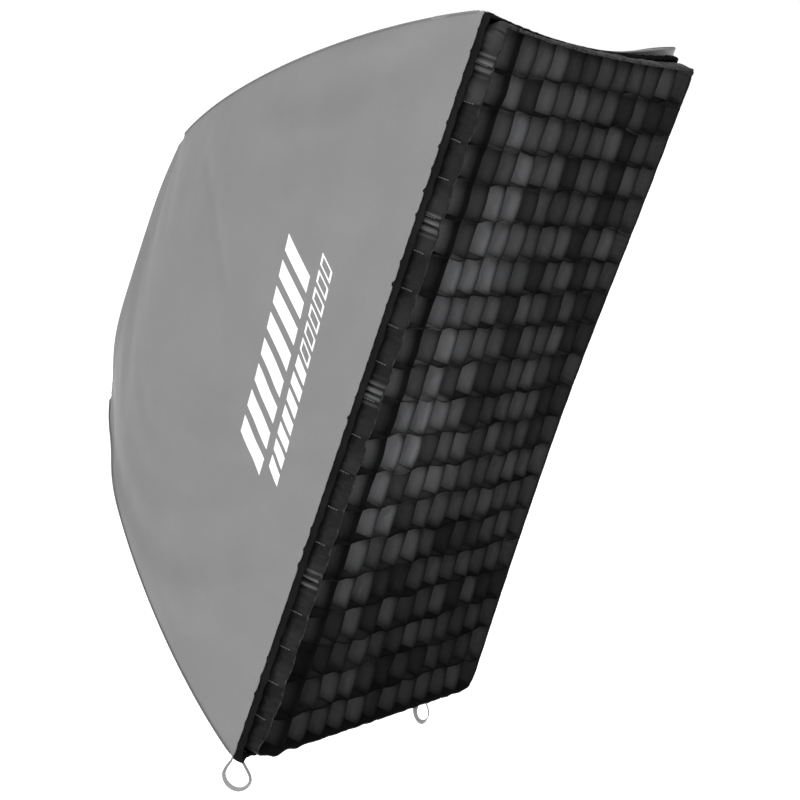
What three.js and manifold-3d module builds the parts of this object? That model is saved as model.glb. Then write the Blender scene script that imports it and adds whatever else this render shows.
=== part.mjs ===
// Rod-framed rectangular softbox with a fabric egg-crate grid, in millimetres.
// The origin is the centre of the adapter's rear face, which meets the lamp head. +Y points back
// into the head, light leaves along -Y, +Z is the long side of the front and +X the short side.
import * as THREE from 'three';
import { mergeVertices } from 'three/addons/utils/BufferGeometryUtils.js';
import Module from 'manifold-3d';

const wasm = await Module();
wasm.setup();

// ---- shell ----
const FRONT_WIDTH = 600;
const FRONT_HEIGHT = 900;
const SHELL_FRONT_Y = -440;
const SHELL_REAR_Y = -24;
const CORNER_RADIUS = Math.hypot(FRONT_WIDTH, FRONT_HEIGHT) / 2;
const CORNER_X = FRONT_WIDTH / 2 / CORNER_RADIUS;
const CORNER_Z = FRONT_HEIGHT / 2 / CORNER_RADIUS;
const REAR_SEAM_RADIUS = 212;
const FABRIC = 1.5;
const SEAM_GAP = 0.5;
const SEAM_MITRE = 2.6;
const PANEL_STATIONS = 9;
const PANEL_COLUMNS = 8;
const SIDE_SAG = 5;
const TOP_SAG = 8;
const COLLAR = { x: 110, z: 152, y: -10 };

// ---- front hem, lip and diffusers ----
const HEM_FRONT_Y = -448;
const HEM_REAR_Y = SHELL_FRONT_Y - 0.4;
const HEM_WIDTH = 3;
const HEM_CORNER = 6;
const LIP_FRONT_Y = SHELL_FRONT_Y + 0.5;
const LIP_REAR_Y = -409;
const LIP_INSET = { front: 2.7, rearX: 14, rearZ: 18.5 };
const LIP_CORNER = 8;
const DIFFUSER_THICKNESS = 1.2;
const FRONT_DIFFUSER = { halfX: 283, halfZ: 428, y: -405.5, corner: 14 };
const INNER_DIFFUSER = { halfX: 205, halfZ: 320, y: -240, tabReach: 394, tabHalf: 11 };

// ---- grid ----
const GRID_FRONT_Y = -473;
const GRID_KNEE_Y = -440;
const GRID_REAR_Y = -418;
const GRID_INSET = 12;
const GRID_TAPER_X = 3;
const GRID_TAPER_Z = 7;
const GRID_CORNER = 20;
const GRID_COLUMNS = 12;
const GRID_ROWS = 20;
const BAND = 1.2;
const STRIP = 1;
const GAP = 0.4;

// ---- rods ----
const ROD_RADIUS = 3.25;
const ROD_OFFSET = 18;
const ROD_TIP = 0.88;
const ROD_STRAIGHT_RADIUS = 150;
const ROD_STEPS = 20;
const POCKET = { radius: 5.8, bore: 4, length: 32, clear: 0.6, wall: 1.4, sides: 14 };
const SOCKET = { start: 92, end: 116, y: -15.5, tilt: Math.PI / 15, radius: 7, bore: 3.6, overcut: 5 };

// ---- rings and clamp knob ----
const SPEED_RING = { bore: 77, recess: 88.3, outer: 105, chamfer: 1.5, front: -29.1, shelf: -9.7, rear: -6 };
const ADAPTER = { bore: 62, flange: 84, barrel: 76.6, boss: 70, lug: 76, front: -33, flangeRear: -29.4 };
const RETAINER = { inner: 76.9, outer: 88, front: -9.4, rear: -6 };
const LUG = { count: 3, thickness: 3.2, root: 2, halfAngle: THREE.MathUtils.degToRad(26) };
const KNOB = { radius: 10, fromAxis: 94, front: -5.6, rear: 6, grips: 12, groove: 0.6 };
const STEM = { radius: 2.9, hole: 3.3, front: -28.6, rear: 0.5 };
const ROUND = 48;
const PIN_SIDES = 16;
const UP_Y = new THREE.Vector3(0, 1, 0);

// ---- rear flaps ----
const FLAP = { halfX: 104, reach: 66, edge: 1.5, hingeZ: 176, tilt: Math.atan2(13.5, 64.5), corner: 6 };

// ---- pull loops: tape width, thickness and the two directions the tape lies in ----
const TAPE = { width: 6, thickness: 1.6, steps: 18, sides: 8 };
const HANG = new THREE.Vector3(-0.04, -0.369, -0.929);
const CORNER_LOOP = {
  at: new THREE.Vector3(-300, -442, -452.5),
  across: new THREE.Vector3(0.438, -0.842, 0.315),
  scale: 1,
};
const EDGE_LOOP = {
  at: new THREE.Vector3(195, -444, -452.5),
  across: new THREE.Vector3(0.97, -0.24, 0.053),
  scale: 0.92,
};

const finish = (color, roughness, metalness) =>
  new THREE.MeshStandardMaterial({ color, roughness, metalness });
const SHELL_GREY = finish(0x8f8f91, 0.75, 0);
const HEM_BLACK = finish(0x161617, 0.6, 0);
const GRID_BLACK = finish(0x2c2c2d, 0.45, 0);
const DIFFUSION_WHITE = finish(0xe9e9e6, 0.8, 0);
const TAPE_GREY = finish(0x9a9a9a, 0.8, 0);
const ROD_STEEL = finish(0x6d6f73, 0.35, 0.9);
const RING_METAL = finish(0x35363a, 0.45, 0.8);
const ADAPTER_STEEL = finish(0xb9babd, 0.3, 0.95);
const KNOB_PLASTIC = finish(0x1b1b1c, 0.55, 0);

const softbox = new THREE.Group();

// ---- mesh helpers ----

// Turns a geometry's faces outward when its signed volume is negative.
function outward(geometry) {
  const p = geometry.attributes.position;
  const index = Array.from(geometry.index.array);
  const [a, b, c] = [new THREE.Vector3(), new THREE.Vector3(), new THREE.Vector3()];
  let volume = 0;
  for (let i = 0; i < index.length; i += 3) {
    a.fromBufferAttribute(p, index[i]);
    b.fromBufferAttribute(p, index[i + 1]);
    c.fromBufferAttribute(p, index[i + 2]);
    volume += a.dot(b.cross(c));
  }
  if (volume < 0) {
    for (let i = 0; i < index.length; i += 3) {
      [index[i + 1], index[i + 2]] = [index[i + 2], index[i + 1]];
    }
    geometry.setIndex(index);
  }
  return geometry;
}

// Welds shared vertices, so the geometry holds positions only.
function welded(geometry) {
  geometry.deleteAttribute('normal');
  geometry.deleteAttribute('uv');
  return outward(mergeVertices(geometry, 1e-4));
}

function fromLists(points, triangles) {
  const geometry = new THREE.BufferGeometry().setFromPoints(points);
  geometry.setIndex(triangles);
  return outward(geometry);
}

function addPiece(name, geometry, material, parent = softbox) {
  geometry.computeVertexNormals();
  const mesh = new THREE.Mesh(geometry, material.clone());
  mesh.name = name;
  parent.add(mesh);
  return mesh;
}

function toSolid(geometry) {
  return new wasm.Manifold(new wasm.Mesh({
    numProp: 3,
    vertProperties: Float32Array.from(geometry.attributes.position.array),
    triVerts: Uint32Array.from(geometry.index.array),
  }));
}

function fromSolid(solid) {
  const mesh = solid.getMesh();
  const geometry = new THREE.BufferGeometry();
  geometry.setAttribute('position', new THREE.BufferAttribute(mesh.vertProperties, 3));
  geometry.setIndex(Array.from(mesh.triVerts));
  return geometry;
}

// A closed sheet between two grids of points of the same size.
function sheetSolid(outer, inner) {
  const rows = outer.length;
  const columns = outer[0].length;
  const at = (side, i, j) => side * rows * columns + i * columns + j;
  const triangles = [];
  const quad = (a, b, c, d) => triangles.push(a, b, c, a, c, d);
  for (let i = 0; i + 1 < rows; i++) {
    for (let j = 0; j + 1 < columns; j++) {
      quad(at(0, i, j), at(0, i, j + 1), at(0, i + 1, j + 1), at(0, i + 1, j));
      quad(at(1, i, j), at(1, i + 1, j), at(1, i + 1, j + 1), at(1, i, j + 1));
    }
  }
  for (let i = 0; i + 1 < rows; i++) {
    quad(at(0, i, 0), at(0, i + 1, 0), at(1, i + 1, 0), at(1, i, 0));
    quad(at(0, i + 1, columns - 1), at(0, i, columns - 1), at(1, i, columns - 1), at(1, i + 1, columns - 1));
  }
  for (let j = 0; j + 1 < columns; j++) {
    quad(at(0, 0, j + 1), at(0, 0, j), at(1, 0, j), at(1, 0, j + 1));
    quad(at(0, rows - 1, j), at(0, rows - 1, j + 1), at(1, rows - 1, j + 1), at(1, rows - 1, j));
  }
  return fromLists([...outer.flat(), ...inner.flat()], triangles);
}

// A closed frame: one section polygon per station, and the last station joins the first.
function frameSolid(stations) {
  const sides = stations[0].length;
  const triangles = [];
  stations.forEach((_, s) => {
    const next = (s + 1) % stations.length;
    for (let i = 0; i < sides; i++) {
      const k = (i + 1) % sides;
      const [a, b, c, d] = [s * sides + i, s * sides + k, next * sides + k, next * sides + i];
      triangles.push(a, b, c, a, c, d);
    }
  });
  return fromLists(stations.flat(), triangles);
}

// Points around a rounded rectangle seen along Y, the same count for every size.
function aroundFront(halfX, halfZ, radius, arcSteps) {
  const points = [];
  for (let corner = 0; corner < 4; corner++) {
    const signX = corner === 0 || corner === 3 ? 1 : -1;
    const signZ = corner < 2 ? 1 : -1;
    for (let i = 0; i <= arcSteps; i++) {
      const angle = (corner + i / arcSteps) * Math.PI / 2;
      points.push([signX * (halfX - radius) + radius * Math.cos(angle),
        signZ * (halfZ - radius) + radius * Math.sin(angle)]);
    }
  }
  return points;
}

// A rectangular frame from a section given as { x, z, y }: half sizes at each depth.
function rectangularFrame(section, radius, arcSteps) {
  const loops = section.map(({ x, z }) => aroundFront(x, z, radius, arcSteps));
  return frameSolid(loops[0].map((_, s) => section.map(({ y }, i) =>
    new THREE.Vector3(loops[i][s][0], y, loops[i][s][1]))));
}

// A flat plate facing along Y, whose rear face lies at y.
function plateFacingY(shape, y, thickness) {
  const options = { depth: thickness, bevelEnabled: false, curveSegments: 4 };
  const geometry = new THREE.ExtrudeGeometry(shape, options);
  geometry.rotateX(Math.PI / 2);
  geometry.translate(0, y, 0);
  return welded(geometry);
}

function roundedRectangle(x0, x1, z0, z1, radius) {
  const shape = new THREE.Shape();
  shape.moveTo(x0 + radius, z0);
  shape.lineTo(x1 - radius, z0);
  shape.absarc(x1 - radius, z0 + radius, radius, -Math.PI / 2, 0);
  shape.lineTo(x1, z1 - radius);
  shape.absarc(x1 - radius, z1 - radius, radius, 0, Math.PI / 2);
  shape.lineTo(x0 + radius, z1);
  shape.absarc(x0 + radius, z1 - radius, radius, Math.PI / 2, Math.PI);
  shape.lineTo(x0, z0 + radius);
  shape.absarc(x0 + radius, z0 + radius, radius, Math.PI, Math.PI * 1.5);
  return shape;
}

const turned = (profile, segments = ROUND) =>
  welded(new THREE.LatheGeometry(profile.map(([r, y]) => new THREE.Vector2(r, y)), segments));

// ---- the bowed corner line that shapes the whole shell ----

// Distance from the axis against y, along each corner seam, from the rear opening to the front.
const seam = new THREE.CubicBezierCurve(
  new THREE.Vector2(REAR_SEAM_RADIUS, SHELL_REAR_Y),
  new THREE.Vector2(322, -96),
  new THREE.Vector2(474, -292),
  new THREE.Vector2(CORNER_RADIUS, SHELL_FRONT_Y));

const CORNERS = {
  top_right: [1, 1],
  top_left: [-1, 1],
  bottom_left: [-1, -1],
  bottom_right: [1, -1],
};

const inCornerPlane = ([signX, signZ], radius, y) =>
  new THREE.Vector3(signX * CORNER_X * radius, y, signZ * CORNER_Z * radius);

// ---- shell panels ----

// One station per row: half width, half height, y and how far the middle sags there.
function shellStations() {
  const stations = [];
  for (let k = 0; k <= PANEL_STATIONS; k++) {
    const t = 1 - k / PANEL_STATIONS;
    const { x: radius, y } = seam.getPoint(t);
    stations.push({ x: CORNER_X * radius, z: CORNER_Z * radius, y, slack: Math.sin(Math.PI * t) });
  }
  return stations;
}

// A panel spans between two corner seams. `reach` is its distance from the axis and `span` its half width.
function panelSolid(stations, reach, span, sag, place) {
  const outer = [];
  const inner = [];
  stations.forEach((station, k) => {
    const before = stations[Math.max(k - 1, 0)];
    const after = stations[Math.min(k + 1, stations.length - 1)];
    const along = new THREE.Vector2(after[reach] - before[reach], after.y - before.y).normalize();
    const inward = new THREE.Vector2(-along.y, along.x);
    if (inward.x > 0) inward.negate();
    outer.push([]);
    inner.push([]);
    for (let j = 0; j <= PANEL_COLUMNS; j++) {
      const u = 2 * j / PANEL_COLUMNS - 1;
      const out = station[reach] - sag * station.slack * (1 - u * u) ** 2;
      const width = station[span] - SEAM_GAP;
      outer[k].push(place(out, station.y, u * width));
      const innerY = Math.max(station.y + inward.y * FABRIC, SHELL_FRONT_Y);
      inner[k].push(place(out + inward.x * FABRIC, innerY, u * (width - SEAM_MITRE)));
    }
  });
  return sheetSolid(outer, inner);
}

function makeShell() {
  const stations = shellStations();
  const sideStations = [...stations, { ...COLLAR, slack: 0 }];
  for (const [name, sign] of [['left', -1], ['right', 1]]) {
    const place = (out, y, across) => new THREE.Vector3(sign * out, y, across);
    addPiece(`panel_${name}`, panelSolid(sideStations, 'x', 'z', SIDE_SAG, place), SHELL_GREY);
  }
  for (const [name, sign] of [['bottom', -1], ['top', 1]]) {
    const place = (out, y, across) => new THREE.Vector3(across, y, sign * out);
    addPiece(`panel_${name}`, panelSolid(stations, 'z', 'x', TOP_SAG, place), SHELL_GREY);
  }
}

// ---- rear flaps, each hinged along the rear edge of the top or bottom panel ----
function makeRearFlaps() {
  for (const [name, sign] of [['top', 1], ['bottom', -1]]) {
    const hinge = new THREE.Group();
    hinge.position.set(0, SHELL_REAR_Y, sign * FLAP.hingeZ);
    hinge.rotation.x = sign * FLAP.tilt;
    const z = [-sign * FLAP.reach, -sign * FLAP.edge].sort((a, b) => a - b);
    const outline = roundedRectangle(-FLAP.halfX, FLAP.halfX, z[0], z[1], FLAP.corner);
    addPiece(`rear_flap_${name}`, plateFacingY(outline, 0, FABRIC), SHELL_GREY, hinge);
    softbox.add(hinge);
  }
}

// ---- front hem and the lip that holds the diffuser and the grid ----
function makeFrontEdge() {
  const [x, z] = [FRONT_WIDTH / 2, FRONT_HEIGHT / 2];
  const hem = [
    { x, z, y: HEM_FRONT_Y },
    { x, z, y: HEM_REAR_Y },
    { x: x - HEM_WIDTH, z: z - HEM_WIDTH, y: HEM_REAR_Y },
    { x: x - HEM_WIDTH, z: z - HEM_WIDTH, y: HEM_FRONT_Y },
  ];
  addPiece('front_hem', rectangularFrame(hem, HEM_CORNER, 3), HEM_BLACK);
  const { front, rearX, rearZ } = LIP_INSET;
  const lip = [
    { x: x - front, z: z - front, y: LIP_FRONT_Y },
    { x: x - rearX, z: z - rearZ, y: LIP_REAR_Y },
    { x: x - rearX - FABRIC, z: z - rearZ - FABRIC, y: LIP_REAR_Y },
    { x: x - front - FABRIC, z: z - front - FABRIC, y: LIP_FRONT_Y },
  ];
  addPiece('front_lip', rectangularFrame(lip, LIP_CORNER, 3), HEM_BLACK);
}

// ---- diffusers ----
function makeDiffusers() {
  const { halfX, halfZ, y, corner } = FRONT_DIFFUSER;
  const front = roundedRectangle(-halfX, halfX, -halfZ, halfZ, corner);
  addPiece('front_diffuser', plateFacingY(front, y, DIFFUSER_THICKNESS), DIFFUSION_WHITE);
  const inner = plateFacingY(innerOutline(), INNER_DIFFUSER.y, DIFFUSER_THICKNESS);
  addPiece('inner_diffuser', inner, DIFFUSION_WHITE);
}

// The inner diffuser ends in one tab at each corner, which reaches out along the diagonal to its rod.
function innerOutline() {
  const { halfX, halfZ, tabReach, tabHalf } = INNER_DIFFUSER;
  const points = Object.values(CORNERS).flatMap(([signX, signZ]) => {
    const tip = new THREE.Vector2(signX * CORNER_X, signZ * CORNER_Z);
    const aside = new THREE.Vector2(-tip.y, tip.x).multiplyScalar(tabHalf);
    tip.multiplyScalar(tabReach);
    const onSide = new THREE.Vector2(signX * halfX, signZ * (halfZ - 2 * tabHalf));
    const onEnd = new THREE.Vector2(signX * (halfX - 2 * tabHalf), signZ * halfZ);
    const [enter, leave] = signX === signZ ? [onSide, onEnd] : [onEnd, onSide];
    return [enter, tip.clone().sub(aside), tip.clone().add(aside), leave];
  });
  return new THREE.Shape(points);
}

// ---- egg-crate grid ----
function makeGrid() {
  const [x, z] = [FRONT_WIDTH / 2 - GRID_INSET, FRONT_HEIGHT / 2 - GRID_INSET];
  const band = [
    { x, z, y: GRID_FRONT_Y },
    { x, z, y: GRID_KNEE_Y },
    { x: x - GRID_TAPER_X, z: z - GRID_TAPER_Z, y: GRID_REAR_Y },
    { x: x - GRID_TAPER_X - BAND, z: z - GRID_TAPER_Z - BAND, y: GRID_REAR_Y },
    { x: x - BAND, z: z - BAND, y: GRID_KNEE_Y },
    { x: x - BAND, z: z - BAND, y: GRID_FRONT_Y },
  ];
  addPiece('grid_band', rectangularFrame(band, GRID_CORNER, 4), GRID_BLACK);
  const columnPitch = 2 * x / GRID_COLUMNS;
  const rowPitch = 2 * z / GRID_ROWS;
  const columns = Array.from({ length: GRID_COLUMNS - 1 }, (_, i) => -x + (i + 1) * columnPitch);
  const rows = Array.from({ length: GRID_ROWS - 1 }, (_, i) => -z + (i + 1) * rowPitch);
  const middle = (GRID_FRONT_Y + GRID_REAR_Y) / 2;
  const label = (i) => String(i + 1).padStart(2, '0');
  columns.forEach((at, i) => {
    const outline = stripOutline(z - BAND - GAP, GRID_TAPER_Z, rows, GRID_FRONT_Y, middle + GAP / 2);
    const geometry = new THREE.ExtrudeGeometry(outline, { depth: STRIP, bevelEnabled: false });
    geometry.rotateY(-Math.PI / 2);
    geometry.translate(at + STRIP / 2, 0, 0);
    addPiece(`grid_column_${label(i)}`, welded(geometry), GRID_BLACK);
  });
  rows.forEach((at, i) => {
    const outline = stripOutline(x - BAND - GAP, GRID_TAPER_X, columns, GRID_REAR_Y, middle - GAP / 2);
    const geometry = new THREE.ExtrudeGeometry(outline, { depth: STRIP, bevelEnabled: false });
    geometry.translate(0, 0, at - STRIP / 2);
    addPiece(`grid_row_${label(i)}`, welded(geometry), GRID_BLACK);
  });
}

// A strip's side view: length across, y upright, with one half-lap slot at each crossing.
function stripOutline(half, taper, crossings, slotFrom, slotTo) {
  const slotHalf = STRIP / 2 + GAP;
  const slots = crossings.flatMap((at) => [[at - slotHalf, slotFrom], [at - slotHalf, slotTo],
    [at + slotHalf, slotTo], [at + slotHalf, slotFrom]]);
  const front = [[-half, GRID_FRONT_Y], [half, GRID_FRONT_Y]];
  const rear = [[half - taper, GRID_REAR_Y], [-half + taper, GRID_REAR_Y]];
  if (slotFrom === GRID_FRONT_Y) front.splice(1, 0, ...slots);
  else rear.splice(1, 0, ...slots.reverse());
  const outline = [...front, [half, GRID_KNEE_Y], ...rear, [-half, GRID_KNEE_Y]];
  return new THREE.Shape(outline.map(([across, y]) => new THREE.Vector2(across, y)));
}

// ---- rods and their corner pockets ----

// A point on the axis of a corner's socket, at a distance from the light's axis.
function socketAxis(corner, radius) {
  return inCornerPlane(corner, radius, SOCKET.y - (radius - SOCKET.start) * Math.tan(SOCKET.tilt));
}

// The rod runs straight out of its socket, then follows the seam at a constant distance inside it.
function rodPoints(corner) {
  const straight = [SOCKET.start + 1, SOCKET.end, ROD_STRAIGHT_RADIUS];
  const points = straight.map((radius) => socketAxis(corner, radius));
  for (const share of [0, 0.2, 0.4, 0.6, 0.8, 1]) {
    const t = share * ROD_TIP;
    const tangent = seam.getTangent(t);
    const point = seam.getPoint(t).add(new THREE.Vector2(tangent.y, -tangent.x).multiplyScalar(ROD_OFFSET));
    points.push(inCornerPlane(corner, point.x, point.y));
  }
  return points;
}

function makeRods() {
  const round = new THREE.Shape().absarc(0, 0, ROD_RADIUS, 0, Math.PI * 2);
  for (const [name, corner] of Object.entries(CORNERS)) {
    const path = new THREE.CatmullRomCurve3(rodPoints(corner));
    const rod = new THREE.ExtrudeGeometry(round, { steps: ROD_STEPS, extrudePath: path, curveSegments: 4 });
    addPiece(`rod_${name}`, welded(rod), ROD_STEEL);
    addPiece(`corner_pocket_${name}`, pocketGeometry(path), HEM_BLACK);
  }
}

// A blind sleeve whose closed end stops the rod's tip.
function pocketGeometry(path) {
  const { radius, bore, length, clear, wall } = POCKET;
  const sleeve = turned([[0, clear], [bore, clear], [bore, -length], [radius, -length],
    [radius, clear + wall], [0, clear + wall]], POCKET.sides);
  const direction = path.getTangent(1);
  sleeve.applyQuaternion(new THREE.Quaternion().setFromUnitVectors(UP_Y, direction));
  sleeve.translate(...path.getPoint(1).toArray());
  return sleeve;
}

// ---- rings ----
function cylinderBetween(start, end, radius) {
  const axis = end.clone().sub(start);
  const cylinder = new THREE.CylinderGeometry(radius, radius, axis.length(), PIN_SIDES);
  cylinder.applyQuaternion(new THREE.Quaternion().setFromUnitVectors(UP_Y, axis.normalize()));
  cylinder.translate(...start.clone().add(end).divideScalar(2).toArray());
  return toSolid(welded(cylinder));
}

function makeSpeedRing() {
  const { bore, recess, outer, chamfer, front, shelf, rear } = SPEED_RING;
  let ring = toSolid(turned([[bore, front], [outer - chamfer, front], [outer, front + chamfer],
    [outer, rear - chamfer], [outer - chamfer, rear], [recess, rear], [recess, shelf],
    [bore, shelf], [bore, front]]));
  for (const corner of Object.values(CORNERS)) {
    const start = socketAxis(corner, SOCKET.start);
    const end = socketAxis(corner, SOCKET.end);
    const pastEnd = end.clone().sub(start).setLength(2 * SOCKET.overcut).add(end);
    ring = ring.add(cylinderBetween(start, end, SOCKET.radius));
    ring = ring.subtract(cylinderBetween(start, pastEnd, SOCKET.bore));
  }
  const holeFront = new THREE.Vector3(0, 2 * front, -KNOB.fromAxis);
  const holeRear = new THREE.Vector3(0, -rear, -KNOB.fromAxis);
  ring = ring.subtract(cylinderBetween(holeFront, holeRear, STEM.hole));
  addPiece('speed_ring', fromSolid(ring), RING_METAL);
}

function makeAdapter() {
  const { bore, flange, barrel, boss, lug, front, flangeRear } = ADAPTER;
  let adapter = toSolid(turned([[bore, front], [flange, front], [flange, flangeRear], [barrel, flangeRear],
    [barrel, RETAINER.rear], [boss, RETAINER.rear], [boss, 0], [bore, 0], [bore, front]]));
  for (let i = 0; i < LUG.count; i++) {
    const middle = i * 2 * Math.PI / LUG.count;
    const sector = new THREE.Shape();
    sector.absarc(0, 0, lug, middle - LUG.halfAngle, middle + LUG.halfAngle);
    sector.absarc(0, 0, boss - LUG.root, middle + LUG.halfAngle, middle - LUG.halfAngle, true);
    adapter = adapter.add(toSolid(plateFacingY(sector, 0, LUG.thickness)));
  }
  addPiece('adapter_ring', fromSolid(adapter), ADAPTER_STEEL);
  const retainer = turned([[RETAINER.inner, RETAINER.front], [RETAINER.outer, RETAINER.front],
    [RETAINER.outer, RETAINER.rear], [RETAINER.inner, RETAINER.rear], [RETAINER.inner, RETAINER.front]]);
  addPiece('retaining_ring', retainer, RING_METAL);
}

function makeClampKnob() {
  const head = new THREE.Shape();
  for (let i = 0; i <= KNOB.grips * 4; i++) {
    const angle = i * Math.PI / (KNOB.grips * 2);
    const radius = KNOB.radius - KNOB.groove * (1 - Math.cos(KNOB.grips * angle));
    const point = [radius * Math.cos(angle), radius * Math.sin(angle)];
    if (i === 0) head.moveTo(...point);
    else if (i < KNOB.grips * 4) head.lineTo(...point);
  }
  const knob = toSolid(plateFacingY(head, KNOB.rear, KNOB.rear - KNOB.front));
  const stemFront = new THREE.Vector3(0, STEM.front, 0);
  const stemRear = new THREE.Vector3(0, STEM.rear, 0);
  const whole = knob.add(cylinderBetween(stemFront, stemRear, STEM.radius));
  const mesh = addPiece('clamp_knob', fromSolid(whole), KNOB_PLASTIC);
  mesh.position.z = -KNOB.fromAxis;
}

// ---- pull loops ----

// One tape loop: it leaves its seam, hangs, and comes back ten millimetres further along.
// The two numbers of each point are its place across and its place down, in millimetres.
const LOOP_PATH = [[-3, 0], [-5.5, 3], [-9, 8], [-11.5, 15], [-9.5, 23], [-4, 29.5], [4, 33],
  [12.5, 31.5], [18.5, 25], [18.5, 17.5], [14.5, 9], [12, 4.5], [10.5, 1.5]];

function makeLoop(name, { at, across, scale }) {
  const points = LOOP_PATH.map(([u, v]) =>
    at.clone().addScaledVector(across, u * scale).addScaledVector(HANG, v * scale));
  const path = new THREE.CatmullRomCurve3(points);
  const section = new THREE.Shape();
  for (let i = 0; i < TAPE.sides; i++) {
    const angle = (i + 0.5) * 2 * Math.PI / TAPE.sides;
    const point = [TAPE.thickness / 2 * Math.cos(angle), TAPE.width / 2 * Math.sin(angle)];
    if (i === 0) section.moveTo(...point);
    else section.lineTo(...point);
  }
  const tape = new THREE.ExtrudeGeometry(section, { steps: TAPE.steps, extrudePath: path });
  addPiece(name, welded(tape), TAPE_GREY);
}

makeAdapter();
makeSpeedRing();
makeClampKnob();
makeRods();
makeShell();
makeRearFlaps();
makeFrontEdge();
makeDiffusers();
makeGrid();
makeLoop('pull_loop_corner', CORNER_LOOP);
makeLoop('pull_loop_edge', EDGE_LOOP);

export default softbox;
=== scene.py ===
"""Rod-framed softbox with a fabric egg-crate grid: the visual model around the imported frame, in metres."""
import math

import bmesh
import bpy
import numpy as np
from mathutils import Matrix, Vector


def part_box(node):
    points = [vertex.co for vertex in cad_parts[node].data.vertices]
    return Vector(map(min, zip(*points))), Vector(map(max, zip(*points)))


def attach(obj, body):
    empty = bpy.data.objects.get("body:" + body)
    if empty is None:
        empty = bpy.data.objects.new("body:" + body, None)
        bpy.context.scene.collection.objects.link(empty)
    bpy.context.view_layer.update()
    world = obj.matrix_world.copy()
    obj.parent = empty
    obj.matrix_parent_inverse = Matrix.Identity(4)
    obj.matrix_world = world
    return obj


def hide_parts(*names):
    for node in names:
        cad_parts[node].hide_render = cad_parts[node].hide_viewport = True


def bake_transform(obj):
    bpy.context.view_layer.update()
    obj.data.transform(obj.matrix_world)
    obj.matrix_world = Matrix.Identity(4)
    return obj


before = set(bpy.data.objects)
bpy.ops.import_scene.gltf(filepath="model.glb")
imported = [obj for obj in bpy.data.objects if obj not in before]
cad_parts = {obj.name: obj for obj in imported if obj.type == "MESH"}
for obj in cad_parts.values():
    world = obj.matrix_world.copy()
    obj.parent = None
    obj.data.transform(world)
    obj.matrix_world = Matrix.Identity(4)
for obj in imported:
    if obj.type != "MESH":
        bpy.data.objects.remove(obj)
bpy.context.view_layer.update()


def box_of(node):
    return tuple(np.array(corner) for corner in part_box(node))


# ---- driving dimensions ----
HEM_LOW, HEM_HIGH = box_of("front_hem")
HALF_X, HALF_Z, HEM_Y = HEM_HIGH[0], HEM_HIGH[2], HEM_LOW[1]
SHELL_Y = box_of("panel_left")[0][1]
CORNER_RADIUS = math.hypot(HALF_X, HALF_Z)
CORNER_X, CORNER_Z = HALF_X / CORNER_RADIUS, HALF_Z / CORNER_RADIUS
# The corner seam as distance from the axis against y, from the rear opening to the front.
SEAM = np.array([(0.212, -0.024), (0.322, -0.096), (0.474, -0.292), (CORNER_RADIUS, SHELL_Y)])
COLLAR = {"x": 0.110, "z": 0.152, "y": -0.008, "end_y": -0.017}
FABRIC = 0.0015
TOP_SAG, TOP_EDGE_SAG = 0.008, 0.015
SIDE_SAG, SIDE_EDGE_SAG = 0.005, 0.003

BAND_LOW, BAND_HIGH = box_of("grid_band")
GRID_X, GRID_Z = BAND_HIGH[0], BAND_HIGH[2]
GRID_FRONT_Y, GRID_REAR_Y, GRID_KNEE_Y = BAND_LOW[1], BAND_HIGH[1], SHELL_Y
GRID_COLUMNS, GRID_ROWS = 12, 20
GRID_TAPER_X, GRID_TAPER_Z = 0.003, 0.007
GRID_CORNER, GRID_TOP_SAG = 0.013, 0.009
# The share of its depth at which the grid meets the hem and starts to narrow.
GRID_KNEE = 0.6
COLUMN_PITCH, ROW_PITCH = 2 * GRID_X / GRID_COLUMNS, 2 * GRID_Z / GRID_ROWS
BAND, STRIP = 0.0012, 0.0006

CORNERS = {"top_right": (1, 1), "top_left": (-1, 1), "bottom_left": (-1, -1), "bottom_right": (1, -1)}
ACROSS, REARWARDS, UP = np.eye(3)


# ---- camera ----
def make_camera():
    azimuth, elevation, roll = (math.radians(angle) for angle in (-66.288, 11.246, 18.761))
    back = Vector((math.sin(azimuth) * math.cos(elevation), -math.cos(azimuth) * math.cos(elevation),
                   math.sin(elevation)))
    level = Vector((math.cos(azimuth), math.sin(azimuth), 0))
    upright = back.cross(level)
    right = math.cos(roll) * level + math.sin(roll) * upright
    matrix = Matrix((right, back.cross(right), back)).transposed().to_4x4()
    matrix.translation = (-2.8516, -1.6148, 0.5705)
    data = bpy.data.cameras.new("camera")
    data.lens = 115.2
    camera = bpy.data.objects.new("camera", data)
    camera.matrix_world = matrix
    bpy.context.scene.collection.objects.link(camera)
    bpy.context.scene.camera = camera


# ---- node materials ----
def node(tree, kind, inputs=None, **settings):
    made = tree.nodes.new("ShaderNode" + kind)
    for key, value in settings.items():
        setattr(made, key, value)
    for key, value in (inputs or {}).items():
        if isinstance(value, bpy.types.NodeSocket):
            tree.links.new(value, made.inputs[key])
        else:
            made.inputs[key].default_value = value
    return made


def math_of(tree, operation, first, second=0.0):
    return node(tree, "Math", {0: first, 1: second}, operation=operation).outputs[0]


def times(tree, first, second):
    return math_of(tree, "MULTIPLY", first, second)


def plus(tree, first, second):
    return math_of(tree, "ADD", first, second)


def mixed(tree, factor, first, second):
    mix = node(tree, "Mix", {"Factor": factor}, data_type="RGBA")
    for socket, value in ((mix.inputs[6], first), (mix.inputs[7], second)):
        if isinstance(value, bpy.types.NodeSocket):
            tree.links.new(value, socket)
        else:
            socket.default_value = (*value, 1)
    return mix.outputs[2]


def ranged(tree, value, low, high, to_low, to_high):
    sockets = {0: value, 1: low, 2: high, 3: to_low, 4: to_high}
    return node(tree, "MapRange", sockets).outputs[0]


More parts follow.
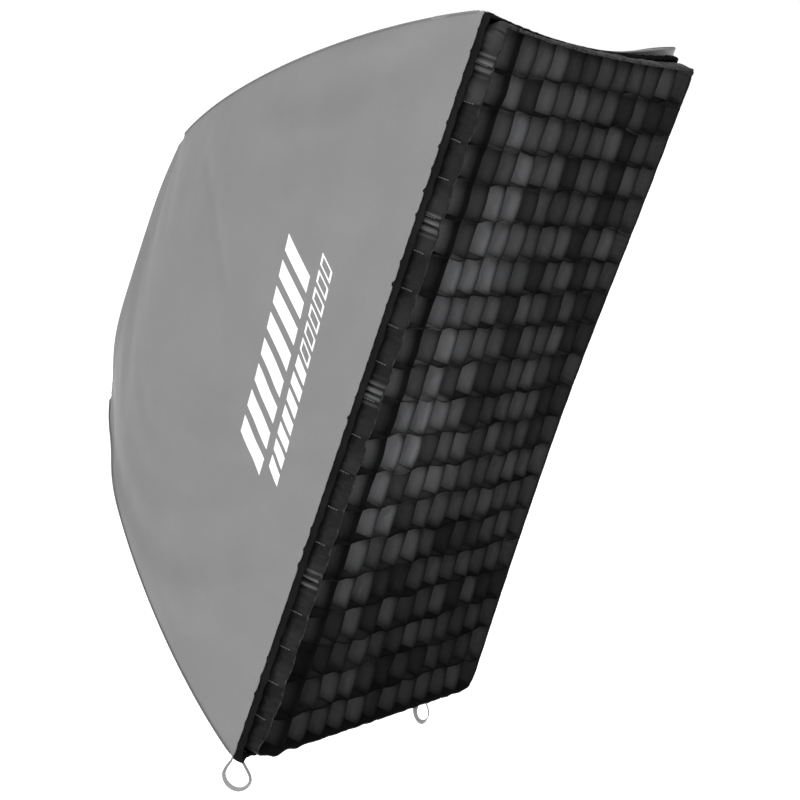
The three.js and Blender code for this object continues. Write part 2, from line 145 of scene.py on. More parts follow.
def noise_of(tree, where, scale, detail=3.0, roughness=0.5):
    return node(tree, "TexNoise", {"Vector": where, "Scale": scale, "Detail": detail,
                                   "Roughness": roughness}).outputs["Fac"]


def new_material(name):
    material = bpy.data.materials.new(name)
    material.use_nodes = True
    tree = material.node_tree
    tree.nodes.clear()
    shader = node(tree, "BsdfPrincipled")
    node(tree, "OutputMaterial", {"Surface": shader.outputs[0]})
    return material, tree, shader


def weave_height(tree, uv, pitch, twill=False):
    """A woven surface's height: threads each `pitch` wide, over and under each other."""
    ripple = 0.314 / pitch
    first = node(tree, "TexWave", {"Vector": uv, "Scale": ripple}, bands_direction="X").outputs["Fac"]
    kind = "DIAGONAL" if twill else "Y"
    second = node(tree, "TexWave", {"Vector": uv, "Scale": ripple}, bands_direction=kind).outputs["Fac"]
    return times(tree, first, second)


def fabric(name, shade, tint=(1, 1, 1), roughness=0.65, pitch=0.0009, weave=0.15, crinkle=0.15,
           crinkle_size=0.02, mottle=0.04, sheen=0.15, twill=False, paint=None, specular=0.4):
    """Woven cloth. `paint` takes the tree and the plain colour, and gives the colour with what is on it."""
    material, tree, shader = new_material(name)
    uv = node(tree, "UVMap").outputs[0]
    place = node(tree, "TexCoord").outputs["Object"]
    patches = noise_of(tree, place, 14.0)
    fine = noise_of(tree, place, 260.0, 2.0)
    threads = weave_height(tree, uv, pitch, twill)
    light = tuple(shade * (1 + mottle) * channel for channel in tint)
    dark = tuple(shade * (1 - mottle) * channel for channel in tint)
    colour = mixed(tree, ranged(tree, patches, 0.35, 0.65, 0, 1), dark, light)
    grain = plus(tree, times(tree, threads, 0.6), times(tree, fine, 0.4))
    # Darker in the weave's valleys: painted shade between the threads.
    valley = tuple(0.86 * channel for channel in dark)
    colour = mixed(tree, ranged(tree, grain, 0.15, 0.45, 0.35, 0), colour, valley)
    if paint:
        colour = paint(tree, colour)
    folds = noise_of(tree, place, 1 / crinkle_size, 4.0, 0.55)
    low = node(tree, "Bump", {"Strength": crinkle, "Distance": 0.004, "Height": folds})
    high = node(tree, "Bump", {"Strength": weave, "Distance": 0.0004, "Height": threads,
                               "Normal": low.outputs[0]})
    tree.links.new(colour, shader.inputs["Base Color"])
    tree.links.new(high.outputs[0], shader.inputs["Normal"])
    wear_and_sheen = ranged(tree, plus(tree, patches, times(tree, fine, 0.3)), 0.4, 0.9,
                  roughness - 0.06, roughness + 0.06)
    tree.links.new(wear_and_sheen, shader.inputs["Roughness"])
    shader.inputs["Sheen Weight"].default_value = sheen
    shader.inputs["Sheen Roughness"].default_value = 0.5
    shader.inputs["Specular IOR Level"].default_value = specular
    return material


# ---- the generic mark on the left panel: a row of slanted bars over a row of small lozenges ----
MARK_START, MARK_LENGTH = -0.140, 0.280
MARK_TILT = 0.09
ROWS = ({"base": -0.341, "height": 0.048, "blocks": 9.0, "gap": 0.36, "lean": 1.1, "outlined": False},
        {"base": -0.373, "height": 0.021, "blocks": 14.0, "gap": 0.30, "lean": 0.8, "outlined": True})
INK = (0.93, 0.93, 0.92)


def block_mask(tree, place, row):
    """Equal slanted blocks standing on a base line that drifts back towards the top."""
    axes = node(tree, "SeparateXYZ", {0: place}).outputs
    along = math_of(tree, "DIVIDE", math_of(tree, "SUBTRACT", axes[2], MARK_START), MARK_LENGTH)
    drift = times(tree, along, MARK_TILT * MARK_LENGTH)
    above = math_of(tree, "SUBTRACT", axes[1], plus(tree, drift, row["base"]))
    rise = math_of(tree, "DIVIDE", above, row["height"])
    lean = times(tree, rise, row["lean"] / row["blocks"])
    slanted = math_of(tree, "SUBTRACT", along, lean)
    number = math_of(tree, "FLOOR", times(tree, slanted, row["blocks"]))
    cell = math_of(tree, "FRACT", times(tree, slanted, row["blocks"]))

    def inside(margin, lift):
        tests = (math_of(tree, "GREATER_THAN", cell, margin),
                 math_of(tree, "LESS_THAN", cell, 1 - row["gap"] - margin),
                 math_of(tree, "GREATER_THAN", rise, lift),
                 math_of(tree, "LESS_THAN", rise, 1 - lift),
                 math_of(tree, "GREATER_THAN", number, -0.5),
                 math_of(tree, "LESS_THAN", number, row["blocks"] - 1.5))
        whole = tests[0]
        for test in tests[1:]:
            whole = times(tree, whole, test)
        return whole

    mask = inside(0.0, 0.0)
    if row["outlined"]:
        hollow = times(tree, inside(0.12, 0.14), math_of(tree, "GREATER_THAN", along, 0.52))
        mask = math_of(tree, "SUBTRACT", mask, hollow)
    return mask


def mark_paint(tree, colour):
    place = node(tree, "TexCoord").outputs["Object"]
    outside = math_of(tree, "LESS_THAN", node(tree, "SeparateXYZ", {0: place}).outputs[0], -0.1)
    for row in ROWS:
        mask = times(tree, block_mask(tree, place, row), outside)
        cracked = ranged(tree, noise_of(tree, place, 420.0, 2.0), 0.3, 0.42, 0.86, 1.0)
        colour = mixed(tree, times(tree, mask, cracked), colour, INK)
    return colour


# The nylon's black, and the light grey that the painted light on it reaches.
NYLON_DARK, NYLON_LIT = (0.006, 0.006, 0.0063), (0.180, 0.182, 0.187)


def tone_paint(tree, _):
    """The nylon's colour by its vertex tone, from black to light grey: painted light and shade, with some
    random patchiness.
    """
    tone = node(tree, "Attribute", attribute_name="tone").outputs["Fac"]
    return mixed(tree, tone, NYLON_DARK, NYLON_LIT)


def metal(name, shade, roughness, scratch=0.1, metallic=1.0, coat=0.0, brushed=None):
    material, tree, shader = new_material(name)
    place = node(tree, "TexCoord").outputs["Object"]
    if brushed:
        place = node(tree, "Mapping", {"Vector": place, "Scale": brushed}).outputs[0]
    stains = noise_of(tree, place, 30.0, 4.0)
    fine = noise_of(tree, place, 600.0, 3.0)
    colour = mixed(tree, stains, tuple(0.85 * channel for channel in shade), shade)
    tree.links.new(colour, shader.inputs["Base Color"])
    spread = ranged(tree, plus(tree, stains, fine), 0.6, 1.4, roughness - 0.08, roughness + 0.1)
    tree.links.new(spread, shader.inputs["Roughness"])
    bump = node(tree, "Bump", {"Strength": scratch, "Distance": 0.0003, "Height": fine})
    tree.links.new(bump.outputs[0], shader.inputs["Normal"])
    shader.inputs["Metallic"].default_value = metallic
    shader.inputs["Coat Weight"].default_value = coat
    return material


SHELL_SHADE, SHELL_TINT = 0.203, (1, 0.998, 1.002)
MATERIALS = {}


def make_materials():
    thread = {"pitch": 0.0005, "weave": 0.8, "twill": True}
    nylon = {"pitch": 0.0010, "weave": 0.12, "mottle": 0.15, "sheen": 0.0, "paint": tone_paint}
    MATERIALS.update({
        "outer": fabric("shell_outer", SHELL_SHADE, SHELL_TINT, specular=0.2),
        "marked": fabric("shell_marked", SHELL_SHADE, SHELL_TINT, specular=0.2, paint=mark_paint),
        "silver": fabric("silver_lining", 0.62, (1, 1, 1.01), roughness=0.38, crinkle=0.5,
                         crinkle_size=0.012),
        "seam": fabric("seam_tape", SHELL_SHADE, SHELL_TINT, roughness=0.7, pitch=0.0012, weave=0.3,
                       specular=0.2, twill=True),
        "binding": fabric("hem_binding", 0.011, roughness=0.6, pitch=0.0014, weave=0.5, crinkle=0.3,
                          mottle=0.2, sheen=0.0, twill=True, specular=0.0),
        "band": fabric("band_nylon", 0.03, roughness=0.38, crinkle=0.35, crinkle_size=0.009, specular=0.10,
                       **nylon),
        "nylon": fabric("grid_nylon", 0.03, roughness=0.4, crinkle=0.4, crinkle_size=0.011, specular=0.0,
                        **nylon),
        "white": fabric("diffusion_cloth", 0.80, (1, 0.997, 0.985), roughness=0.8, weave=0.25, crinkle=0.12),
        "tape": fabric("loop_tape", 0.26, (1, 0.995, 0.985), roughness=0.75, pitch=0.0012, weave=0.8,
                       twill=True, mottle=0.1),
        "thread": fabric("grey_thread", 0.24, roughness=0.7, mottle=0.1, **thread),
        "hem_thread": fabric("black_thread", 0.008, roughness=0.6, sheen=0.0, specular=0.0, **thread),
        "grid_thread": fabric("dark_grey_thread", 0.14, roughness=0.5, sheen=0.0, specular=0.2, **thread),
        "fleece": fabric("loop_pile", 0.012, roughness=0.9, pitch=0.0016, weave=1.0, crinkle=0.8,
                         crinkle_size=0.002, sheen=0.5, mottle=0.3),
        "rod": metal("rod_steel", (0.42, 0.43, 0.45), 0.34, brushed=(1.0, 0.06, 0.06)),
        "ring": metal("ring_anodised", (0.035, 0.036, 0.040), 0.42, metallic=0.7, coat=0.1),
        "steel": metal("adapter_steel", (0.44, 0.45, 0.46), 0.30),
        "knob": metal("knob_plastic", (0.012, 0.012, 0.013), 0.55, scratch=0.3, metallic=0.0),
    })


# ---- mesh helpers ----
def skin(name, rings, kinds, wrap=False, cap="strip", slots=None, tone=None, sharp=55):
    """A closed mesh through rings of points, each ring closed on itself. Its UVs are in metres."""
    rings = np.asarray(rings, float)
    rows, size = rings.shape[:2]
    i = np.arange(rows if wrap else rows - 1)[:, None]
    j = np.arange(size)[None, :]
    corners = [(i, j), (i, j + 1), (i + 1, j + 1), (i + 1, j)]
    quads = np.stack([(a % rows) * size + b % size for a, b in corners], -1).reshape(-1, 4)
    along = np.linalg.norm(np.roll(rings, -1, 0) - rings, axis=2).mean(1)
    around = np.linalg.norm(np.roll(rings, -1, 1) - rings, axis=2).mean(0)
    u = np.concatenate([[0], np.cumsum(along)])
    v = np.concatenate([[0], np.cumsum(around)])
    uv = np.stack([np.stack([u[a] + 0 * b, v[b] + 0 * a], -1) for a, b in corners], 2).reshape(-1, 2)
    faces = quads.tolist()
    if not wrap:
        last = (rows - 1) * size
        if cap == "strip":
            pairs = [(k, k + 1, size - 2 - k, size - 1 - k) for k in range(size // 2 - 1)]
            faces += pairs
            faces += [tuple(last + k for k in reversed(pair)) for pair in pairs]
        else:
            faces += [tuple(range(size)), tuple(last + k for k in reversed(range(size)))]
    mesh = bpy.data.meshes.new(name)
    mesh.from_pydata(rings.reshape(-1, 3).tolist(), [], faces)
    layer = mesh.uv_layers.new(name="UVMap")
    full = np.zeros((len(mesh.loops), 2))
    full[:len(uv)] = uv
    layer.data.foreach_set("uv", full.ravel())
    if slots is not None:
        index = np.zeros(len(faces), int)
        index[:len(quads)] = np.broadcast_to(np.asarray(slots), (len(i), size)).ravel()
        mesh.polygons.foreach_set("material_index", index)
    if tone is not None:
        mesh.attributes.new("tone", "FLOAT", "POINT").data.foreach_set("value", np.asarray(tone).ravel())
    return finished(name, mesh, kinds, sharp)


def finished(name, mesh, kinds, sharp=40):
    """An object in the scene from a mesh, with the materials whose names `kinds` lists."""
    shape = bmesh.new()
    shape.from_mesh(mesh)
    bmesh.ops.recalc_face_normals(shape, faces=shape.faces)
    shape.to_mesh(mesh)
    shape.free()
    mesh.shade_smooth()
    mesh.set_sharp_from_angle(angle=math.radians(sharp))
    for kind in kinds.split():
        mesh.materials.append(MATERIALS[kind])
    piece = bpy.data.objects.new(name, mesh)
    bpy.context.scene.collection.objects.link(piece)
    return piece


def unit(vectors):
    return vectors / np.maximum(np.linalg.norm(vectors, axis=-1, keepdims=True), 1e-12)


def normals_of(points, wrap=False):
    if wrap:
        along = np.roll(points, -1, 0) - np.roll(points, 1, 0)
    else:
        along = np.gradient(points, axis=0)
    return unit(np.cross(along, np.gradient(points, axis=1)))


def two_sided(points, thickness, wrap=False):
    """Rings for a sheet: its front from one edge to the other, then its back on the way home."""
    half = normals_of(points, wrap) * thickness / 2
    return np.concatenate([points + half, (points - half)[:, ::-1]], axis=1)


def sheet_slots(columns, front, back):
    return np.array([front] * (columns - 1) + [back] * (columns + 1))


def swept(path, side, above, section):
    """Rings of a section, whose points lie so far to the side and so far above, along a path."""
    side, above = np.atleast_2d(side), np.atleast_2d(above)
    return path[:, None] + side[:, None] * section[:, :1] + above[:, None] * section[:, 1:]


def tube_rings(path, section, upright):
    """Rings of a section along a path, kept square to `upright`."""
    along = unit(np.gradient(path, axis=0))
    side = unit(np.cross(along, upright))
    return swept(path, side, np.cross(side, along), section)


def stem_rings(line, girth, side, above, sides):
    """Round rings with the given radii, one at each point of a line."""
    ring = np.stack(circle(sides), -1) @ np.stack([side, above])
    return line[:, None] + np.asarray(girth)[:, None, None] * ring


def screw_rings(centre, rise, side, above, sides, stations):
    """Rings (radius, height, hexagonal or not) of a screw's head and the socket in it."""
    angle = np.linspace(0, 2 * math.pi, sides, endpoint=False)
    flats = np.cos(math.pi / 6) / np.cos(angle % (math.pi / 3) - math.pi / 6)
    ring = np.stack(circle(sides), -1) @ np.stack([side, above])
    return [centre + rise * height + radius * (flats[:, None] if hexed else 1) * ring
            for radius, height, hexed in stations]


def run_of(points):
    """How far along a line each of its points lies."""
    return np.concatenate([[0], np.cumsum(np.linalg.norm(np.diff(points, axis=0), axis=1))])


def sampled(at, run, values):
    """Values that go with the places in `run`, read at other places."""
    return np.stack([np.interp(at, run, column) for column in np.asarray(values).T], -1)


def lifted(flat, y):
    """Points (x, z) put in space at the given y."""
    return np.stack([flat[..., 0], np.broadcast_to(y, flat.shape[:-1]), flat[..., 1]], -1)


def circle(sides):
    """The cosines and the sines of equal steps once round."""
    angle = np.linspace(0, 2 * math.pi, sides, endpoint=False)
    return np.cos(angle), np.sin(angle)


def ellipse(half_width, half_height, sides=12, power=1.0):
    """A section round its own middle. A power below 1 squares it up."""
    shape = np.stack(circle(sides), -1)
    return np.sign(shape) * np.abs(shape) ** power * (half_width, half_height)


def rounded_profile(points, radius=0.0006, steps=4):
    """A closed profile with every corner rounded."""
    points = np.asarray(points, float)
    rounded = []
    for k, corner in enumerate(points):
        before, after = points[k - 1], points[(k + 1) % len(points)]
        room = min(np.linalg.norm(before - corner), np.linalg.norm(after - corner)) / 2.2
        cut = min(radius, room)
        start, end = corner + unit(before - corner) * cut, corner + unit(after - corner) * cut
        for share in np.linspace(0, 1, steps):
            rounded.append((1 - share) ** 2 * start + 2 * share * (1 - share) * corner + share ** 2 * end)
    return rounded


def lathe(name, profile, kinds, body, slot, *nodes, corner=0.0006, segments=192, centre_z=0.0):
    """A closed profile of (radius, y), with rounded corners, turned around the Y axis at a height."""
    cosine, sine = circle(segments)
    radius, y = np.array(rounded_profile(profile, corner)).T
    rings = np.stack([cosine[:, None] * radius, y + 0 * sine[:, None], centre_z + sine[:, None] * radius], -1)
    return add(name, rings, kinds, body, slot, *nodes, wrap=True, sharp=35)


def wavering(rng, period, parts=5):
    """A smooth random function of a length, about one unit high, which varies over about one period."""
    periods = period * rng.uniform(0.65, 1.7, parts)
    phases = rng.uniform(0, 2 * math.pi, parts)
    weights = rng.uniform(0.5, 1.0, parts)
    weights /= math.sqrt((weights ** 2).sum() / 2)

    def wave(length):
        length = np.asarray(length, float)[..., None]
        return (weights * np.sin(2 * math.pi * length / periods + phases)).sum(-1)
    return wave


def bell(distance, width):
    return np.exp(-(np.asarray(distance) / width) ** 2)


def smooth(value):
    value = np.clip(value, 0, 1)
    return value * value * (3 - 2 * value)


def stitches(name, places, directions, faces, kinds, body, slot, length=0.0030, width=0.0007):
    """Short threads lying on a surface, each a little capsule sunk at both ends."""
    directions, faces = unit(np.asarray(directions, float)), unit(np.asarray(faces, float))
    across = np.cross(directions, faces)
    stations = [(-0.5, 0.35, -0.4), (-0.25, 1.0, 0.25), (0.25, 1.0, 0.25), (0.5, 0.35, -0.4)]
    sides, points = 6, []
    for share, girth, lift in stations:
        centre = places + directions * share * length + faces * lift * width
        points += [centre + (across * cosine + faces * sine) * girth * width / 2
                   for cosine, sine in zip(*circle(sides))]
    per = len(points)
    polygons = [[k + s, k + (s + 1) % sides, k + sides + (s + 1) % sides, k + sides + s]
                for k in range(0, per - sides, sides) for s in range(sides)]
    polygons += [list(range(sides)), list(reversed(range(per - sides, per)))]
    mesh = bpy.data.meshes.new(name)
    mesh.from_pydata(np.stack(points, 1).reshape(-1, 3).tolist(), [],
                     [[q + per * k for q in polygon] for k in range(len(places)) for polygon in polygons])
    mesh.uv_layers.new(name="UVMap")
    return place_piece(finished(name, mesh, kinds, sharp=80), body, slot)


def place_piece(piece, body, slot, *nodes):
    """Puts a piece on its body and in place of the CAD nodes it stands for; its material slot is not used."""
    if nodes:
        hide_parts(*nodes)
    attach(piece, body)
    return piece


# How a closed tube of cloth or of metal is capped and shaded.
TUBE = {"cap": "fan", "sharp": 70}
METAL = {"cap": "fan", "sharp": 35}


def add(name, rings, kinds, body, slot, *nodes, **options):
    return place_piece(skin(name, rings, kinds, **options), body, slot, *nodes)


# ---- pull loops ----
# Each point of the route is a place across and a place down from where the tape leaves its seam.
HANG = np.array((-0.04, -0.369, -0.929))
LOOP_ROUTE = [(-0.003, 0), (-0.0055, 0.003), (-0.009, 0.008), (-0.0115, 0.015), (-0.0095, 0.023),
              (-0.004, 0.0295), (0.004, 0.033), (0.0125, 0.0315), (0.0185, 0.025), (0.0185, 0.0175),
              (0.0145, 0.009), (0.012, 0.0045), (0.0105, 0.0015)]
LOOPS = {
    "corner": {"at": (-0.300, -0.442, -0.4525), "across": (0.438, -0.842, 0.315),
               "scale": 1.0, "edge_on": 20},
    "edge": {"at": (0.195, -0.444, -0.4525), "across": (0.97, -0.24, 0.053),
             "scale": 0.92, "edge_on": 30},
}
TAPE_WIDTH, TAPE_THICKNESS = 0.006, 0.0011
# The tape's extra turn in degrees, most at this share of its length and over this spread of it.
LOOP_TURN, TURN_AT, TURN_SPREAD = 55, 0.42, 0.2
LOOP_ROOT = 0.006
SEWN_IN = np.array([0.004, 0.004, 0.010])


def smooth_route(points, steps):
    """A Catmull-Rom curve through the points."""
    points = np.asarray(points, float)
    padded = np.concatenate([[2 * points[0] - points[1]], points, [2 * points[-1] - points[-2]]])
    t = np.linspace(0, len(points) - 1 - 1e-9, steps)
    k = t.astype(int)
    f = (t - k)[:, None]
    a, b, c, d = (padded[k + n] for n in range(4))
    square, cube = 2 * a - 5 * b + 4 * c - d, 3 * b - a - 3 * c + d
    return 0.5 * (2 * b + (c - a) * f + square * f ** 2 + cube * f ** 3)


def tape_rings(path, facing, turn):
    """Rings of tape along a path. A turn of 0 is edge on to `facing`, and 90 degrees is flat to it."""
    along = unit(np.gradient(path, axis=0))
    turn = np.radians(turn)[:, None]
    wide = facing * np.cos(turn) + np.cross(facing, along) * np.sin(turn)
    return swept(path, wide, np.cross(along, wide), ellipse(TAPE_WIDTH / 2, TAPE_THICKNESS / 2, 16, 0.6))


def make_loops():
    """Tape that leaves its seam, turns flat as it goes round the bottom, and comes back beside itself."""
    for name, loop in LOOPS.items():
        at, across = np.array(loop["at"]), unit(np.array(loop["across"]))
        points = np.array([at + (across * u + HANG * v) * loop["scale"] for u, v in LOOP_ROUTE])
        path = smooth_route(points, 73)
        facing = unit(np.cross(across, HANG))
        turn = loop["edge_on"] + LOOP_TURN * bell(np.linspace(0, 1, len(path)) - TURN_AT, TURN_SPREAD)
        piece = add(f"tape_loop_{name}", tape_rings(path, facing, turn), "tape", "box", "loop_tape",
                    f"pull_loop_{name}", **TUBE)
        for end, place in (("start", points[0]), ("end", points[-1])):
            rise = np.linspace(LOOP_ROOT, -0.0008, 8)[:, None]
            root = tape_rings(place + unit(at + SEWN_IN - place) * rise, facing, np.full(8, loop["edge_on"]))
            add(f"tape_root_{name}_{end}", root, "tape", "box", "loop_tape", **TUBE)


# ---- shell ----
def seam_at(t):
    t = np.asarray(t, float)[..., None]
    return ((1 - t) ** 3 * SEAM[0] + 3 * (1 - t) ** 2 * t * SEAM[1] + 3 * (1 - t) * t ** 2 * SEAM[2]
            + t ** 3 * SEAM[3])


# Creases pressed into the left panel: from (y, z) to (y, z), depth, width.
LEFT_CREASES = (
    ((-0.074, 0.186), (-0.217, 0.010), 0.0016, 0.0080),
    ((-0.110, 0.175), (-0.160, 0.060), 0.0007, 0.0050),
    ((-0.120, 0.235), (-0.400, 0.385), 0.0046, 0.0260),
    ((-0.160, 0.215), (-0.330, 0.290), -0.0022, 0.0180),
    ((-0.300, 0.150), (-0.420, 0.180), 0.0008, 0.0120),
    ((-0.250, -0.170), (-0.430, -0.060), 0.0010, 0.0120),
    ((-0.300, -0.300), (-0.430, -0.190), 0.0009, 0.0100),
    ((-0.140, -0.200), (-0.330, -0.330), 0.0010, 0.0150),
    ((-0.080, -0.060), (-0.130, -0.180), 0.0006, 0.0100),
)


def crease_depth(points, creases):
    """How far each point sinks into the creases, which fade at both ends."""
    depth = np.zeros(points.shape[:2])
    here = points[..., 1:]
    for start, end, deep, width in creases:
        start, end = np.array(start), np.array(end)
        run = end - start
        share = ((here - start) @ run) / (run @ run)
        aside = np.linalg.norm(here - start - share[..., None] * run, axis=-1)
        ends = smooth(share / 0.25) * smooth((1 - share) / 0.25)
        depth += deep * bell(aside, width) * ends
    return depth


def panel_surface(side, rows=61, columns=81):
    """Points of a panel from the rear (row 0) to the front, and the direction that points out of it."""
    upright = side in ("left", "right")
    sign = -1 if side in ("left", "bottom") else 1
    t = np.linspace(0, 1, rows)
    radius, y = seam_at(t).T
    reach, span = (CORNER_X, CORNER_Z) if upright else (CORNER_Z, CORNER_X)
    out, width = reach * radius, span * radius
    if upright:
        lead = np.linspace(0, 1, 6)[:-1]
        out = np.concatenate([COLLAR["x"] + (out[0] - COLLAR["x"]) * lead, out])
        width = np.concatenate([COLLAR["z"] + (width[0] - COLLAR["z"]) * lead, width])
        y = np.concatenate([COLLAR["y"] + (y[0] - COLLAR["y"]) * smooth(lead), y])
        drawn = np.concatenate([1 - lead, 0 * t]) * (COLLAR["end_y"] - COLLAR["y"])
        t = np.concatenate([0 * lead, t])
    u = np.linspace(-1, 1, columns)
    middle_sag, front_sag = (SIDE_SAG, SIDE_EDGE_SAG) if upright else (TOP_SAG, TOP_EDGE_SAG)
    if side == "bottom":
        front_sag = SIDE_EDGE_SAG
    sink = middle_sag * np.sin(math.pi * t)[:, None] * (1 - u ** 2) ** 2
    sink = sink + front_sag * (t[:, None] ** 3) * (1 - u ** 2)
    distance = out[:, None] - sink
    across = width[:, None] * u
    depth = np.broadcast_to(y[:, None], across.shape)
    if upright:
        depth = depth + drawn[:, None] * u ** 4
        return slackened(np.stack([sign * distance, depth, across], -1)), sign
    return slackened(np.stack([across, depth, sign * distance], -1)), sign


# Where the cloth is pulled out of its even shape: a place on one side, the pull and its reach.
LOWER_PULLS = (((0.115, -0.018, -0.166), (-0.009, -0.007, 0.001), 0.055),
               ((0.150, -0.060, -0.225), (-0.007, -0.004, 0.001), 0.045))
PEAK_LIFT, PEAK_REACH = 0.0105, np.array([0.155, 0.070, 0.070])
# The part of its free sinking that a panel makes, and how near the front it begins to be held.
SETTLED, HELD_NEAR = 0.5, 0.3
CLOTH = {"quality": 5, "mass": 0.12, "tension_stiffness": 25, "compression_stiffness": 25,
         "shear_stiffness": 10, "bending_stiffness": 0.6, "air_damping": 2}


def slackened(points):
    """The points of the cloth, drawn in at both lower rear corners and up at one front corner."""
    points = points.copy()
    for sign in (-1, 1):
        for place, pull, reach in LOWER_PULLS:
            mirror = np.array([sign, 1, 1])
            near = bell(np.linalg.norm(points - mirror * place, axis=-1), reach)
            points += near[..., None] * mirror * pull
    peak = np.array([HALF_X, SHELL_Y + 0.016, HALF_Z])
    points[..., 2] += PEAK_LIFT * bell(np.linalg.norm((points - peak) / PEAK_REACH, axis=-1), 1)
    return points


def slack_cloth(name, points, slack):
    """A cloth object through the points, a little too big for its edge, which is pinned."""
    rows, columns = points.shape[:2]
    index = np.arange(rows * columns).reshape(rows, columns)
    faces = np.stack([index[:-1, :-1], index[:-1, 1:], index[1:, 1:], index[1:, :-1]], -1).reshape(-1, 4)
    mesh = bpy.data.meshes.new(name + "_cloth")
    mesh.from_pydata(points.reshape(-1, 3).tolist(), [], faces.tolist())
    cloth = bpy.data.objects.new(name + "_cloth", mesh)
    bpy.context.scene.collection.objects.link(cloth)
    edge = np.unique(np.concatenate([index[0], index[-1], index[:, 0], index[:, -1]])).tolist()
    cloth.vertex_groups.new(name="pin").add(edge, 1.0, "REPLACE")
    modifier = cloth.modifiers.new("cloth", "CLOTH")
    for setting, value in CLOTH.items():
        setattr(modifier.settings, setting, value)
    modifier.settings.vertex_group_mass = "pin"
    modifier.settings.shrink_min = -slack
    modifier.settings.effector_weights.gravity = 0.4
    modifier.collision_settings.use_collision = False
    return cloth


def settle(name, points, slack, steps=12, limit=0.006):
    """Lets the panel hang as slightly slack cloth pinned all round, and gives the settled points."""
    cloth = slack_cloth(name, points, slack)
    scene = bpy.context.scene
    for number in range(1, steps + 1):
        scene.frame_set(number)
    shape = cloth.evaluated_get(bpy.context.evaluated_depsgraph_get()).data
    settled = np.empty(points.size)
    shape.vertices.foreach_get("co", settled)
    move = settled.reshape(points.shape) - points
    move *= SETTLED * smooth((1 - np.linspace(0, 1, len(points))) / HELD_NEAR)[:, None, None]
    far = np.linalg.norm(move, axis=-1, keepdims=True)
    mesh = cloth.data
    bpy.data.objects.remove(cloth)
    bpy.data.meshes.remove(mesh)
    scene.frame_set(1)
    return points + move * np.minimum(1, limit / np.maximum(far, 1e-9))


def relaxed(points, times=2):
    """Evens out a surface, with its edges kept."""
    points = points.copy()
    for _ in range(times):
        middle = points[1:-1, 1:-1]
        near = points[:-2, 1:-1] + points[2:, 1:-1] + points[1:-1, :-2] + points[1:-1, 2:]
        points[1:-1, 1:-1] = 0.5 * middle + near / 8
    return points


def refined(points, times):
    """Puts a smooth row and column between each two, by cubic interpolation."""
    for _ in range(times):
        for axis in (0, 1):
            points = np.moveaxis(points, axis, 0)
            rows = len(points)
            padded = np.concatenate([[2 * points[0] - points[1]], points, [2 * points[-1] - points[-2]]])
            nearer = 9 * (padded[1:rows] + padded[2:rows + 1])
            between = (nearer - padded[:rows - 1] - padded[3:rows + 2]) / 16
            fuller = np.empty((2 * rows - 1,) + points.shape[1:])
            fuller[::2], fuller[1::2] = points, between
            points = np.moveaxis(fuller, 0, axis)
    return points


def make_shell():
    """Four panels of two-faced cloth, settled, creased and a little uneven."""
    for number, side in enumerate(("left", "right", "bottom", "top")):
        rng = np.random.default_rng(20 + number)
        points, sign = panel_surface(side)
        points = refined(relaxed(settle(side, points, slack=0.006)), 1)
        out_axis = 0 if side in ("left", "right") else 2
        out = np.zeros(3)
        out[out_axis] = sign
        rows, columns = points.shape[:2]
        fade_rows = smooth(np.linspace(0, 1, rows) / 0.12) * smooth((1 - np.linspace(0, 1, rows)) / 0.06)
        fade_columns = smooth((1 - np.abs(np.linspace(-1, 1, columns))) / 0.08)
        fade = fade_rows[:, None] * fade_columns
        across = points[..., 2 - out_axis]
        lean = wavering(rng, 0.22)(points[..., 1] + 0.4 * across) * wavering(rng, 0.35)(across)
        points = points + out * (fade * 0.0009 * lean)[..., None]
        if side == "left":
            points = points - out * (fade * crease_depth(points, LEFT_CREASES))[..., None]
        if (normals_of(points)[rows // 2, columns // 2] @ out) < 0:
            points = points[:, ::-1]
        outside = "marked" if side == "left" else "outer"
        piece = add(f"shell_{side}", two_sided(points - out * FABRIC / 2, FABRIC), f"{outside} silver",
                    "box", "shell_fabric", f"panel_{side}", slots=sheet_slots(columns, 0, 1))


def corner_ways(corner):
    """The way from the axis out to a corner, and the way across that."""
    sign_x, sign_z = corner
    return (np.array([sign_x * CORNER_X, 0, sign_z * CORNER_Z]),
            np.array([sign_x * CORNER_Z, 0, -sign_z * CORNER_X]))


def make_seams():
    """A raised tape over each corner seam, with a row of stitches on both sides of it."""
    places, directions, faces = [], [], []
    for name, corner in CORNERS.items():
        outwards, across = corner_ways(corner)
        end = 0.998 if name == "top_right" else 0.985
        radius, y = seam_at(np.linspace(0, end, 90)).T
        path = slackened(outwards * radius[:, None] + REARWARDS * y[:, None])
        along = unit(np.gradient(path, axis=0))
        out = np.cross(along, across)
        out *= np.sign((out * path)[45].sum())
        rings = swept(path, across, out, ellipse(0.0022, 0.0004, 14, 0.7))
        add(f"seam_tape_{name}", rings, "seam", "box", "shell_fabric", **TUBE)
        run = run_of(path)
        at = np.arange(0.004, run[-1] - 0.004, 0.0042)
        middle, way, up = (sampled(at, run, values) for values in (path, along, out))
        for edge in (-0.0014, 0.0014):
            places.append(middle + across * edge + up * 0.0003)
            directions.append(way)
            faces.append(up)
    stitches("seam_stitches", *map(np.concatenate, (places, directions, faces)), "thread", "box",
             "shell_fabric")


